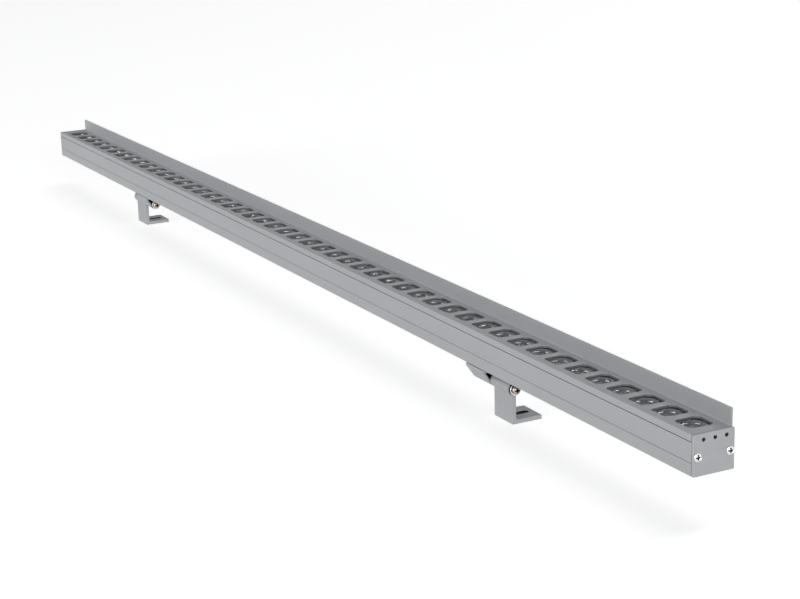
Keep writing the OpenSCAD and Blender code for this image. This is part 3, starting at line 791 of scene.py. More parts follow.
@dataclass(frozen=True)
class ClearAcrylic:
    """Injection moulded acrylic lens: polished on its crown, with a faint ripple of flow and a slight haze.

    The marked walls and underside are left matt by their mould; their darker tint, which passes less light, is
    painted shade.
    """

    name: str = "clear_moulded_acrylic"
    colour: str = "#efeef3"
    # painted shade: the darker tint of the marked walls and underside
    frost_and_shade: str = "#c2c1c9"
    polish: tuple[float, float] = (0.02, 0.06)
    frost: float = 0.5
    clear: float = 0.93
    ior: float = 1.49
    ripple_mm: float = 3.0

    def build(self) -> Material:
        """Makes the material. The frost is added to the polish where the surface is marked.

        Returns:
            The material.
        """
        made, tree, shader, place = blank(self.name)
        flow = pattern(tree, place, (self.ripple_mm,) * 3, 1)
        mark = add_node(tree, "ShaderNodeAttribute", {"attribute_name": MARK}).outputs["Fac"]
        gloss = add_node(tree, "ShaderNodeMapRange", inputs={0: flow, 3: self.polish[0], 4: self.polish[1]})
        rough = add_node(tree, "ShaderNodeMath", {"operation": "MULTIPLY_ADD"},
                         {0: mark, 1: self.frost, 2: gloss.outputs[0]})
        # painted shade: marked surfaces take the darker tint
        colour = add_node(tree, "ShaderNodeMix", COLOURS, {0: mark, 6: self.colour, 7: self.frost_and_shade})
        feed(tree, shader, {"Base Color": colour.outputs[2], "Roughness": rough.outputs[0], "IOR": self.ior,
                            "Transmission Weight": self.clear})
        return made


@dataclass(frozen=True)
class SolderMask:
    """Dark solder mask screened over copper on an aluminium core: half gloss, with the copper's pads beneath."""

    name: str = "screened_black_solder_mask"
    colour: str = "#34363a"
    copper: str = "#44464a"
    pad_mm: float = 4.0
    gap: float = 0.06
    roughness: float = 0.38

    def build(self) -> Material:
        """Makes the material. Its pads are squares with a gap, given as a share of their size.

        Returns:
            The material.
        """
        made, tree, shader, place = blank(self.name)
        scaled = add_node(tree, "ShaderNodeMapping", inputs={0: place, 3: [1 / (self.pad_mm * MM)] * 3})
        pads = add_node(tree, "ShaderNodeTexBrick", {"offset": 0.0},
                        {"Vector": scaled.outputs[0], "Scale": 1.0, "Mortar Size": self.gap, "Brick Width": 1.0,
                         "Row Height": 1.0, "Color1": "#ffffff", "Color2": "#ffffff", "Mortar": "#000000"})
        colour = add_node(tree, "ShaderNodeMix", COLOURS,
                          {0: pads.outputs["Color"], 6: self.colour, 7: self.copper})
        feed(tree, shader, {"Base Color": colour.outputs[2], "Roughness": self.roughness})
        return made


def built(kind: type, *values: Any, **sizes: Any) -> Any:
    """A field that holds a finish of one kind, built together with its owner.

    Args:
        kind: The finish's class.
        *values: Its first fields.
        **sizes: Its other fields.

    Returns:
        The dataclass field.
    """
    return field(default_factory=lambda: kind(*values, **sizes).build())


@dataclass
class Finishes:
    """All finishes of the light, each built once."""

    extruded: Material = built(AnodisedAluminium, "extruded_anodised_aluminium")
    milled: Material = built(AnodisedAluminium, "milled_anodised_aluminium", line_mm=(0.6, 0.6, 0.6), grain_mm=0.3)
    bracket: Material = built(AnodisedAluminium, "sawn_anodised_aluminium_profile", line_mm=(30.0, 0.4, 0.4))
    steel: Material = built(BrightMetal, "tumbled_stainless_steel", "#ecebea", "#7a7876")
    bolt: Material = built(BrightMetal, "cold_headed_stainless_steel", "#b0a6a2", "#171515", (0.26, 0.38))
    spring_steel: Material = built(BrightMetal, "blued_spring_steel", "#4a474c", "#1a191a", (0.28, 0.4))
    black_steel: Material = built(BrightMetal, "black_oxide_steel", "#2b2b2e", "#0c0c0d", (0.3, 0.45))
    nickel: Material = built(BrightMetal, "nickel_plated_brass", "#c9c3b6", "#3a352c", (0.18, 0.28))
    gold: Material = built(BrightMetal, "gold_plated_contact", "#e0b45c", "#4a3510", (0.12, 0.2))
    nylon: Material = built(MouldedPlastic, "moulded_black_nylon", "#121214", "#1c1c1f")
    rubber: Material = built(MouldedPlastic, "die_cut_epdm_rubber", "#131315", "#1d1d1f", (0.6, 0.75), 0.4, 0.03)
    foam: Material = built(MouldedPlastic, "closed_cell_neoprene_foam", "#060607", "#0a0a0b", (0.85, 0.95), 0.3, 0.05)
    gasket: Material = built(MouldedPlastic, "grey_silicone_gasket", "#97989b", "#a0a1a4", (0.5, 0.62))
    silicone: Material = built(MouldedPlastic, "extruded_silicone_seal", "#1a1b1d", "#27282b", (0.5, 0.62))
    thermal: Material = built(MouldedPlastic, "filled_thermal_pad", "#b9bcc0", "#a9acb2", (0.7, 0.8))
    insert: Material = built(MouldedPlastic, "moulded_connector_insert", "#17181a", "#202124")
    wire_red: Material = built(MouldedPlastic, "red_silicone_insulation", "#9e211a", "#b32c24")
    wire_black: Material = built(MouldedPlastic, "black_silicone_insulation", "#141416", "#1f1f22")
    phosphor: Material = built(MouldedPlastic, "phosphor_filled_silicone", "#d8cf9a", "#e3dcae", (0.3, 0.4))
    mask: Material = built(SolderMask)
    acrylic: Material = built(ClearAcrylic)


# ---------------------------------------------------------------- the bar


@dataclass(frozen=True)
class BarSizes:
    """Sizes that several pieces of the bar share."""

    length: float = 1000
    width: float = 25
    height: float = 22
    wall: float = 1.6
    housing_h: float = 17.8
    shelf_z: float = 12.5
    shelf_t: float = 1.6
    plate_t: float = 1.6
    cap_t: float = 1.5
    gasket_t: float = 0.5
    port_y: float = 2.6
    port_z: float = 10.2
    port_r: float = 1.1
    run_margin: float = 8
    run_shift: float = 1.4
    strips: int = 4
    lenses: int = 12
    hook_y: float = 1.7
    hook_in_y: float = 2.8
    hook_low: float = 15.4
    barb: float = 0.7
    inlet_z: float = 9.6

    @property
    def mid_y(self) -> float:
        """Middle of the bar's width."""
        return self.width / 2

    @property
    def start(self) -> float:
        """Where the extrusions start, behind the far cap and gasket."""
        return self.cap_t + self.gasket_t

    @property
    def end(self) -> float:
        """Where the extrusions end."""
        return self.length - self.start

    @property
    def pitch(self) -> float:
        """Spacing of the lenses."""
        return (self.length - 2 * self.run_margin) / (self.strips * self.lenses)

    @property
    def run_x(self) -> float:
        """Where the row of lens strips starts."""
        return self.run_margin + self.run_shift

    def centres(self, strip: int, count: int) -> Array:
        """X places of a count of lenses from the start of a strip."""
        return self.run_x + strip * self.pitch * self.lenses + (np.arange(count) + 0.5) * self.pitch


@dataclass(frozen=True)
class CellGrid:
    """Samples a row of equal cells, so that each cell's border and the loops in it have the same points."""

    pitch: float
    mid_y: float
    straight: float = 4.5
    side_steps: int = 2
    corner_steps: int = 8

    @property
    def count(self) -> int:
        """Points on a loop."""
        return 4 * (self.side_steps + self.corner_steps)

    def border(self, y0: float, y1: float, z: float) -> Array:
        """The cell's border, counter-clockwise from above, about the cell's middle in X.

        Args:
            y0: Where its front side lies.
            y1: Where its rear side lies.
            z: Its height.

        Returns:
            Points in three coordinates.
        """
        half, run, low, high = self.pitch / 2, self.straight, y0 - self.mid_y, y1 - self.mid_y
        bend = self.corner_steps // 2
        steps = np.cumsum([0] + [self.side_steps, bend, bend] * 4)
        x = [half, half, half, run, -run, -half, -half, -half, -half, -run, run, half, half]
        y = [-run, run, high, high, high, high, run, -run, low, low, low, low, -run]
        at = np.arange(self.count)
        return np.column_stack([np.interp(at, steps, x), self.mid_y + np.interp(at, steps, y),
                                np.full(self.count, z)])

    def square(self, half: float, radius: float, z: float) -> Array:
        """A square loop with round corners about the cell's middle.

        Args:
            half: Half the square's width.
            radius: Radius of its corners.
            z: Its height.

        Returns:
            Points in three coordinates.
        """
        flat = half - radius
        turn = np.linspace(0, math.pi / 2, self.corner_steps + 1)[:-1]
        side = np.column_stack([np.full(self.side_steps, half),
                                np.linspace(-flat, flat, self.side_steps + 1)[:-1]])
        bend = flat + radius * np.column_stack([np.cos(turn), np.sin(turn)])
        quarter = np.concatenate([side, bend])
        turns = [quarter]
        for _ in range(3):
            turns.append(turns[-1] @ np.array([[0, 1], [-1, 0]]))
        flat_loop = np.concatenate(turns)
        return np.column_stack([flat_loop[:, 0], self.mid_y + flat_loop[:, 1], np.full(self.count, z)])

    def circle(self, radius: float, z: float) -> Array:
        """A round loop about the cell's middle."""
        angle = (np.arange(self.count) - self.side_steps / 2) / self.count * 2 * math.pi
        return np.column_stack([radius * np.cos(angle), self.mid_y + radius * np.sin(angle),
                                np.full(self.count, z)])

    def side_x(self, centres: Array) -> Array:
        """X places of the border's points along the front or rear of all cells.

        Args:
            centres: X places of the cells' middles.

        Returns:
            The places, from the first cell's start to the last one's end.
        """
        half, run = self.pitch / 2, self.straight
        bend = self.corner_steps // 2
        steps = np.cumsum([0, bend, self.side_steps, bend])
        cell = np.interp(np.arange(steps[-1]), steps, [-half, -run, run, half])
        return np.r_[(centres[:, None] + cell[None]).reshape(-1), centres[-1] + half]

    def side_y(self, y0: float, y1: float) -> Array:
        """Y places of the border's points across the cell.

        Args:
            y0: The first place.
            y1: The last one.

        Returns:
            The places.
        """
        run, bend = self.straight, self.corner_steps // 2
        steps = np.cumsum([0, bend, self.side_steps, bend])
        return np.interp(np.arange(steps[-1] + 1), steps, [y0, self.mid_y - run, self.mid_y + run, y1])

    def ring(self, front: Array, rear: Array, top: float, low: float) -> Array:
        """The section at a cell's side, through the border's points on its flat top and underside.

        Args:
            front: Points down the front edge, in Y and Z.
            rear: Points up the rear edge.
            top: Height of the flat top.
            low: Height of the flat underside.

        Returns:
            The closed outline in Y and Z.
        """
        across = self.side_y(front[-1, 0], rear[0, 0])
        above = self.side_y(front[0, 0], rear[-1, 0])[::-1]
        return np.concatenate([front, np.column_stack([across, np.full(len(across), low)])[1:-1], rear,
                               np.column_stack([above, np.full(len(above), top)])[1:-1]])


@dataclass(frozen=True)
class Housing:
    """Lower extrusion: side walls with a fine groove, a shelf, two screw ports and the T slot underneath."""

    bar: BarSizes
    slot_w: float = 6
    channel_w: float = 10.4
    channel_h: float = 3.2
    channel_wall: float = 1.2
    groove_z: float = 7
    groove_w: float = 0.5
    groove_d: float = 0.4
    groove_edge: float = 0.06
    edge: float = 0.3
    rim: float = 0.2
    root: float = 0.1
    notch_low: float = 0.1
    notch_high: float = 1.1
    port_land: float = 2
    saw_edge: float = 0.1
    pocket_run: float = 6
    pocket_r: float = 3.55

    def section(self) -> tuple[Array, Array]:
        """Draws the section: half of it is worked out, and mirrored about the bar's middle.

        Returns:
            The outline, and the outline of the hollow under the shelf.
        """
        b, w, t, root = self.bar, self.bar.width, self.bar.wall, self.root
        mid, mouth, channel = b.mid_y, self.slot_w / 2, self.channel_w / 2
        low, high = self.groove_z - self.groove_w / 2, self.groove_z + self.groove_w / 2
        notch, notch_low, notch_high = t - b.barb, b.hook_low + self.notch_low, b.hook_low + self.notch_high
        roof = t + self.channel_h
        half = [(w, 0, self.edge), (w, low, self.groove_edge), (w - self.groove_d, low, root),
                (w - self.groove_d, high, root), (w, high, self.groove_edge), (w, b.housing_h, self.rim),
                (w - t, b.housing_h, root), (w - t, notch_high, 0), (w - notch, notch_high, 0),
                (w - notch, notch_low, 0), (w - t, notch_low, 0), (w - t, b.shelf_z, 0)]
        slot = [(mid - mouth, 0, self.rim), (mid - mouth, t, root), (mid - channel, t, root),
                (mid - channel, roof, root)]
        mirror = [(w - y, z, r) for y, z, r in slot[::-1]]
        outer = outline([*slot, *mirror, *half, *[(w - y, z, r) for y, z, r in half[::-1]]])
        block, top, under = channel + self.channel_wall, roof + self.channel_wall, b.shelf_z - b.shelf_t
        land, step = b.port_y + self.port_land, b.port_z - self.port_land
        side = [(mid - block, t, 0), (t, t, 0), (t, step, 0), (land, step, self.port_land), (land, under, 0)]
        hollow = outline([*side, *[(w - y, z, r) for y, z, r in side[::-1]], (mid + block, top, 0),
                          (mid - block, top, 0)], 6)
        return outer, hollow

    def build(self, shop: Workshop, finishes: Finishes) -> None:
        """Makes the housing, with a round pocket for the inlet in its far end.

        Args:
            shop: The workshop.
            finishes: The finishes.
        """
        b, cut = self.bar, self.saw_edge
        walls = [edged_wall(loop, b.start, b.end, cut, cut, 1) for loop in self.section()]
        for y in (b.port_y, b.width - b.port_y):
            walls.append(bore_wall(y, b.port_z, [(b.start, b.port_r), (b.end, b.port_r)], 24))
        run = b.start + self.pocket_run
        pocket = turned(np.array([b.start - 1, b.start - 1, run, run]), np.array([0, 1, 1, 0]) * self.pocket_r,
                        (0, b.mid_y, b.inlet_z), Facing.NEAR)
        shop.add("housing", between(walls), finishes.extruded, "bar", "anodised", ["lower_housing"], cutter=pocket)


@dataclass(frozen=True)
class Cover:
    """Upper extrusion: a plate with a row of windows, snap hooks, and the glare shield along its rear edge."""

    bar: BarSizes
    window: float = 15
    window_r: float = 3
    lip_z: float = 18.2
    shield_h: float = 9.6
    shield_t: float = 1
    shield_edge: float = 0.18
    edge: float = 0.3
    lip_edge: float = 0.15
    root: float = 0.25
    hook_edge: float = 0.2
    barb_edge: float = 0.1
    barb_low: float = 0.2
    barb_high: float = 0.9
    window_edge: float = 0.25
    inner_edge: float = 0.6
    # how far painted shade darkens the window walls, as a mark from 0 to 1
    shade: float = 0.5

    def front(self) -> list[tuple[float, float, float]]:
        """Draws the front half.

        Returns:
            Corners from the plate's top, down the front lip and hook, to the plate's underside.
        """
        b, z, barb = self.bar, self.bar.hook_low, self.bar.hook_y - self.bar.barb
        plate = b.height - b.plate_t
        return [(b.mid_y, b.height, 0), (0, b.height, self.edge), (0, self.lip_z, self.lip_edge),
                (b.hook_y, self.lip_z, self.barb_edge), (b.hook_y, z + self.barb_high, 0),
                (barb, z + self.barb_high, self.barb_edge), (barb, z + self.barb_low, self.barb_edge),
                (b.hook_y, z + self.barb_low, 0), (b.hook_y, z, self.hook_edge),
                (b.hook_in_y, z, self.hook_edge), (b.hook_in_y, plate, self.root), (b.mid_y, plate, 0)]

    def rear(self) -> list[tuple[float, float, float]]:
        """Draws the rear half. Its hook mirrors the front one.

        Returns:
            Corners from the plate's underside, down and up the hook, round the shield, to the plate's top.
        """
        b, top = self.bar, self.bar.height + self.shield_h
        hook = [(b.width - y, z, r) for y, z, r in self.front()[2:][::-1]]
        inner = b.width - self.shield_t
        return [*hook, (b.width, top, self.shield_edge), (inner, top, self.shield_edge),
                (inner, b.height, self.root), (b.mid_y, b.height, 0)]

    def build(self, shop: Workshop, finishes: Finishes) -> None:
        """Makes the cover: one patch of rings a window, and the front and rear edges carried past them.

        Args:
            shop: The workshop.
            finishes: The finishes.
        """
        b = self.bar
        grid = CellGrid(b.pitch, b.mid_y)
        front, rear = outline(self.front(), 4, False)[1:-1], outline(self.rear(), 4, False)[1:-1]
        top, low = b.height, b.height - b.plate_t
        turn = rounded_edge(self.window_edge)
        half, radius = self.window / 2, self.window_r
        rings = [grid.border(front[0, 0], rear[-1, 0], top)]
        rings += [grid.square(half + inset, radius + inset, top - depth) for depth, inset in turn]
        rings += [grid.square(half + inset, radius + inset, low + depth)
                  for depth, inset in turn[::-1] * self.inner_edge]
        rings.append(grid.border(front[-1, 0], rear[0, 0], low))
        # painted shade: the window's wall, from the lower part of its top round to its underside round, is darkened
        dark = np.zeros((len(rings), grid.count))
        dark[len(turn) - 1:-1] = self.shade
        cell = sheet(np.array(rings), marks=dark)
        centres = b.centres(0, b.strips * b.lenses)
        cells = [cell.moved(x=x) for x in centres]
        along = grid.side_x(centres)
        sides = [sheet(on_x(points, along), wrap_cols=False) for points in (front, rear)]
        loop = grid.ring(front, rear, top, low)
        ends = []
        for x0, x1, face in ((b.start, along[0], -1), (along[-1], b.end, 1)):
            rows = on_x(loop, np.array([x0, x1]))
            ends += [sheet(rows), flat_face([rows[0 if face < 0 else 1]], (face, 0, 0))]
        shop.add("cover", joined(*cells, *sides, *ends), finishes.extruded, "bar", "anodised", ["top_cover"])


@dataclass(frozen=True)
class LensStrips:
    """Four moulded strips of twelve lenses: a flange, a crown in each window and a collimator over each LED."""

    bar: BarSizes
    flange_y: float = 3.3
    flange_z: float = 17.8
    flange_t: float = 1.6
    skirt: float = 1.2
    board_z: float = 14.4
    lens_r: float = 7.1
    crown_h: float = 1.5
    proud: float = 0.1
    collimator_r: float = 6.0
    collimator_low_r: float = 3.2
    collimator_z: float = 15.0
    pocket_r: float = 2.5
    pocket_depth: float = 1.6
    roof_sag: float = 0.35
    edge: float = 0.2
    fine_edge: float = 0.1
    skirt_edge: float = 0.15
    draft: float = 0.03
    rim_root: float = 0.25
    rim_edge: float = 0.22
    rim_slope: float = 0.43
    rim_turn: float = 0.32
    gap: float = 0.2

    def crown(self) -> Array:
        """Draws the rim and the crown: z = centre + sqrt(R R - r r).

        Returns:
            Radii and heights from the flange to the middle of the crown.
        """
        top = self.bar.height + self.proud
        rim = top - self.crown_h
        ball = (self.lens_r ** 2 + self.crown_h ** 2) / (2 * self.crown_h)
        wall = outline([(self.lens_r + 1, self.flange_z, 0), (self.lens_r, self.flange_z, self.rim_root),
                        (self.lens_r - self.draft, rim, self.rim_edge),
                        (self.lens_r - 1, rim + self.rim_slope, 0)], 3, False)[1:-1]
        r = self.lens_r * np.cos(np.linspace(self.rim_turn, math.pi / 2, 12))
        return np.concatenate([wall, np.column_stack([r, top - ball + np.sqrt(ball ** 2 - r ** 2)])])

    def hollow(self) -> Array:
        """Draws the collimator and its pocket, whose roof sags by a parabola: z = roof - sag (r / R) ** 2.

        Returns:
            Radii and heights down the collimator and up its pocket to the middle of the roof.
        """
        roof, under = self.collimator_z + self.pocket_depth, self.flange_z - self.flange_t
        path = outline([(self.collimator_r + 1, under, 0), (self.collimator_r, under, self.edge),
                        (self.collimator_low_r, self.collimator_z, self.fine_edge),
                        (self.pocket_r, self.collimator_z, self.fine_edge),
                        (self.pocket_r - 0.05, roof - 0.4, 0)], 3, False)[1:]
        r = self.pocket_r * np.cos(np.linspace(0.1, math.pi / 2, 7))
        return np.concatenate([path, np.column_stack([r, roof - self.roof_sag * (r / self.pocket_r) ** 2])])

    def build(self, shop: Workshop, finishes: Finishes) -> None:
        """Makes the four strips. Each lens is one cell of rings, clear on its crown, and matt with a darker tint of
        painted shade elsewhere.

        Args:
            shop: The workshop.
            finishes: The finishes.
        """
        b = self.bar
        grid = CellGrid(b.pitch, b.mid_y)
        under, inner = self.flange_z - self.flange_t, self.flange_y + self.skirt
        edge = [(b.mid_y, self.flange_z, 0), (self.flange_y, self.flange_z, self.edge),
                (self.flange_y, self.board_z, self.skirt_edge), (inner, self.board_z, self.skirt_edge),
                (inner, under, self.edge), (b.mid_y, under, 0)]
        front = outline(edge, 3, False)[1:-1]
        rear = (outline(edge, 3, False)[1:-1] * [-1, 1] + [b.width, 0])[::-1]
        crown = self.crown()
        up = [grid.border(front[0, 0], rear[-1, 0], self.flange_z)]
        up += [grid.circle(r, z) for r, z in crown]
        down = [grid.border(front[-1, 0], rear[0, 0], under)]
        down += [grid.circle(max(r, 0), z) for r, z in self.hollow()]
        # marks for a matt frost and the darker tint of painted shade: the flange's top and the rim's walls here, the
        # whole underside below
        frost_and_shade = np.r_[1.0, crown[:, 1] < b.height + self.proud - self.crown_h][:, None] * np.ones(grid.count)
        top = sheet(np.array(up), marks=frost_and_shade)
        bottom = sheet(np.array(down), marks=np.ones((len(down), grid.count))).flipped()
        cell = joined(top, bottom)
        loop = grid.ring(front, rear, self.flange_z, under)
        run = b.pitch * b.lenses
        for i in range(b.strips):
            x0, x1 = b.run_x + i * run + self.gap / 2, b.run_x + (i + 1) * run - self.gap / 2
            centres = b.centres(i, b.lenses)
            along = grid.side_x(centres)
            parts = [cell.moved(x=x) for x in centres]
            parts += [sheet(on_x(points, along), wrap_cols=False) for points in (front, rear)]
            parts += [flat_face([on_x(loop, np.array(x))], (face, 0, 0))
                      for x, face in ((along[0], -1), (along[-1], 1))]
            strip = joined(*parts)
            strip.points[:, 0] = np.clip(strip.points[:, 0], x0, x1)
            shop.add(f"lenses_{i + 1}", strip, finishes.acrylic, "bar", "lens", [f"lens_strip_{i + 1}"])


@dataclass(frozen=True)
class CrossHead:
    """A screw head with a cross recess, on its shank."""

    radius: float
    rise: float
    rim: float
    seat: float
    shank_r: float
    length: float
    depth: float
    arm: float
    reach: float
    edge: float = 0.08
    tip_edge: float = 0.25
    lead: float = 0.3
    thread_share: float = 0.55
    arm_blur: float = 0.14
    end_blur: float = 0.35
    slope: float = 0.25
    shade: float = 1.6

    def cross(self, across: Array, along: Array) -> Array:
        """One arm of the recess, as a share of its depth.

        Args:
            across: Distances from the arm's middle line.
            along: Distances from the recess's middle along the arm.

        Returns:
            s(across) s(along) (1 - slope (2 along / reach) ** 2), where s(d) = t t (3 - 2 t) falls
            from 1 to 0 over the blur at the arm's side or end.
        """
        wide = np.clip((self.arm / 2 - across) / self.arm_blur + 0.5, 0, 1)
        long = np.clip((self.reach / 2 - along) / self.end_blur + 0.5, 0, 1)
        floor = 1 - self.slope * (2 * along / self.reach) ** 2
        return wide * wide * (3 - 2 * wide) * long * long * (3 - 2 * long) * floor

    def build(self, origin: Sequence[float], facing: Facing, pitch: float = 0, tail: float = 0) -> Shell:
        """Makes the screw from the tip of its shank, over its seat and rim, to the middle of its recess.

        The dome is a sphere's cap: z = centre + sqrt(R R - r r). The recess goes down from it by its
        depth times the larger of the two arms, and is deepest in the middle.

        Args:
            origin: The place of the head's seat plane on the axis.
            facing: The direction that the head faces.
            pitch: Pitch of the thread on the tail, or zero for a plain shank.
            tail: Length of the threaded tail.

        Returns:
            The screw's surface.
        """
        count, r = 96, self.radius
        ball = (r ** 2 + self.rise ** 2) / (2 * self.rise)
        tip = -self.seat - self.length
        body = outline([(tip, 0, 0), (tip, self.shank_r, self.tip_edge), (-self.seat, self.shank_r, 0),
                        (0, r, self.edge), (self.rim, r, self.edge), (self.rim + 0.2, r - 0.05, 0)], 3, False)
        height, radius = body[:, 0], np.broadcast_to(body[:, 1:2], (len(body), count)).copy()
        if pitch:
            start = tip + self.lead
            rows = np.arange(start, start + tail, pitch / 8)
            before = height < start - 0.02
            cut = self.shank_r - thread(rows, count, pitch, self.thread_share * pitch)
            height = np.r_[height[before], rows, height[~before]]
            radius = np.concatenate([radius[before], cut, radius[~before]])
        spread = (r - 0.02) * np.linspace(1, 0, 34)[1:]
        angle = np.arange(count) / count * 2 * math.pi
        v, w = np.abs(spread[:, None] * np.cos(angle)), np.abs(spread[:, None] * np.sin(angle))
        cross = np.maximum(self.cross(v, w), self.cross(w, v))
        dome = self.rim - (ball - self.rise) + np.sqrt(ball ** 2 - spread[:, None] ** 2)
        heights = np.concatenate([np.broadcast_to(height[:, None], radius.shape), dome - self.depth * cross])
        radii = np.concatenate([radius, np.broadcast_to(spread[:, None], cross.shape)])
        marks = np.concatenate([np.zeros(radius.shape), np.clip(self.shade * cross, 0, 1)])
        return turned(heights, radii, origin, facing, count, marks)


@dataclass(frozen=True)
class EndCaps:
    """Milled caps with three drain holes and two countersunk screws each; the far one also carries the inlet."""

    bar: BarSizes
    corner: float = 0.6
    drain_r: float = 1.0
    drain_lip: tuple[tuple[float, float], ...] = ((0, 0.12), (0.05, 0.04), (0.14, 0))
    drain_drop: float = 3.1
    drain_shift: float = 0.5
    drain_spacing: float = 7
    sink_r: float = 2.35
    sink: float = 1.1
    inlet_r: float = 3.3
    edge: float = 0.22
    inner_edge: float = 0.1

    def plate(self, with_inlet: bool) -> Shell:
        """Makes the far cap, its outer face at x = 0.

        Args:
            with_inlet: Whether it has the inlet's hole.

        Returns:
            The plate, with the walls of its drain holes marked dark.
        """
        b, t = self.bar, self.bar.cap_t
        border = outline([(0, 0, self.corner), (b.width, 0, self.corner), (b.width, b.height, self.corner),
                          (0, b.height, self.corner)], 5)
        walls = [edged_wall(border, 0, t, self.edge, self.inner_edge)]
        lip = [(x, self.drain_r + grow) for x, grow in (*self.drain_lip, (t, 0))]
        for k in (-1, 0, 1):
            walls.append(bore_wall(b.mid_y + self.drain_shift + k * self.drain_spacing,
                                   b.height - self.drain_drop, lip))
        sunk = [(0, self.sink_r), (self.sink, b.port_r), (t, b.port_r)]
        for y in (b.port_y, b.width - b.port_y):
            walls.append(bore_wall(y, b.port_z, sunk, 48))
        if with_inlet:
            walls.append(bore_wall(b.mid_y, b.inlet_z, [(0, self.inlet_r), (t, self.inlet_r)], 48))
        # painted shade on the walls of the three drain holes
        return between(walls, range(1, 4))

    def build(self, shop: Workshop, finishes: Finishes) -> None:
        """Makes both caps and their screws.

        Args:
            shop: The workshop.
            finishes: The finishes.
        """
        b = self.bar
        shop.add("far_cap", self.plate(True), finishes.milled, "bar", "anodised", ["far_end_cap"])
        shop.add("near_cap", self.plate(False).mirrored(b.length / 2), finishes.milled, "bar", "anodised",
                 ["near_end_cap"])
        screw = CrossHead(radius=2.25, rise=0.64, rim=0.06, seat=1.1, shank_r=1.0, length=8.9, depth=1.15, arm=0.8,
                          reach=2.7)
        for name, x, facing in (("near", b.length, Facing.NEAR), ("far", 0.0, Facing.FAR)):
            pair = [screw.build((x, y, b.port_z), facing) for y in (b.port_y, b.width - b.port_y)]
            shop.add(f"{name}_cap_screw_pair", joined(*pair), finishes.steel, "bar", "steel",
                     [f"{name}_cap_screws"])


@dataclass(frozen=True)
class Inlet:
    """Power inlet in the far cap: a threaded shell with a hexagon, an insert, two pins and a seal ring."""

    bar: BarSizes
    out: float = 8.5
    thread_d: float = 8
    pitch: float = 1.0
    thread_depth: float = 0.55
    hex_w: float = 10
    hex_t: float = 2
    hex_cone: float = 1.12
    hex_chamfer: tuple[tuple[float, float], ...] = ((0, -0.55), (0.16, -0.27), (0.32, 0), (0.6, 0.6))
    ring_t: float = 1
    ring_edge: float = 0.38
    ring_free: float = 0.02
    ring_in: float = 0.05
    neck_r: float = 3.2
    bore_r: float = 2.5
    inside: float = 4.0
    insert_depth: float = 5
    pin_r: float = 0.5
    pin_out: float = 3.3
    pin_circle: float = 2.8

    def build(self, shop: Workshop, finishes: Finishes) -> None:
        """Makes the shell, the pins and the seal ring. Heights run outwards from the cap's face.

        Args:
            shop: The workshop.
            finishes: The finishes.
        """
        mid_y, z, count = self.bar.mid_y, self.bar.inlet_z, 96
        origin = (0, mid_y, z)
        hex_low, hex_high = self.ring_t, self.ring_t + self.hex_t
        crest = self.thread_d / 2
        rows = np.arange(hex_high + 0.4, self.out - 0.35, self.pitch / 12)

        def plain(*pairs: tuple[float, float]) -> tuple[Array, Array]:
            """Rings of one radius each."""
            rows_in = np.array(pairs, float)
            return rows_in[:, 0], np.broadcast_to(rows_in[:, 1:2], (len(pairs), count))

        parts = [plain((-self.inside, self.bore_r), (-self.inside, self.neck_r), (hex_low, self.neck_r)),
                 chamfered_hexagon(self.hex_w, hex_low, hex_high, self.hex_cone, self.hex_chamfer, count),
                 plain((hex_high, crest - 0.45), (hex_high + 0.35, crest - 0.5)),
                 (rows, crest - thread(rows, count, self.pitch, self.thread_depth)),
                 plain((self.out - 0.3, crest - 0.35), (self.out, crest - 0.7), (self.out, self.bore_r + 0.25),
                       (self.out - 0.25, self.bore_r))]
        height = np.concatenate([p[0] for p in parts])
        radius = np.concatenate([p[1] for p in parts])
        shop.add("inlet_thread", turned(height, radius, origin, Facing.FAR, count, wrap=True), finishes.nickel,
                 "bar", "nickel", ["inlet_shell"])
        free = self.ring_free
        ring = washer(self.neck_r + free, self.hex_w / 2 - self.ring_in, free, self.ring_t - free, self.ring_edge,
                      origin, Facing.FAR)
        shop.add("inlet_seal", ring, finishes.rubber, "bar", "rubber", ["inlet_seal_ring"])
        tip = self.out - self.insert_depth + self.pin_out
        pin = outline([(-self.inside, 0, 0), (-self.inside, self.pin_r, 0.1), (tip, self.pin_r, 0.45), (tip, 0, 0)],
                      5, False)
        pins = [turned(pin[:, 0], pin[:, 1], (0, mid_y + side * self.pin_circle / 2, z), Facing.FAR, 24)
                for side in (-1, 1)]
        shop.add("contact_pins", joined(*pins), finishes.gold, "bar", "gold", ["inlet_pins"])


# ---------------------------------------------------------------- the brackets


@dataclass(frozen=True)
class BracketSizes:
    """Sizes that a clamp, a foot and their hardware share."""

    pivot_y: float = 8.8
    pivot_z: float = -7.2
    knuckle_r: float = 3.9
    bore_r: float = 1.55
    bolt_r: float = 1.5
    clamp_l: float = 20.5
    foot_w: float = 20.5
    play: float = 0.05
    flare: float = 0.12

    def bore(self, x: float, end: float) -> Array:
        """Rings of the bore through a knuckle, flared a little at both faces.

        Args:
            x: Where the knuckle starts.
            end: Where it ends.

        Returns:
            Rings by points by three coordinates.
        """
        wide, r = self.bore_r + self.flare, self.bore_r
        return bore_wall(self.pivot_y, self.pivot_z,
                         [(x, wide), (x + self.flare, r), (end - self.flare, r), (end, wide)])


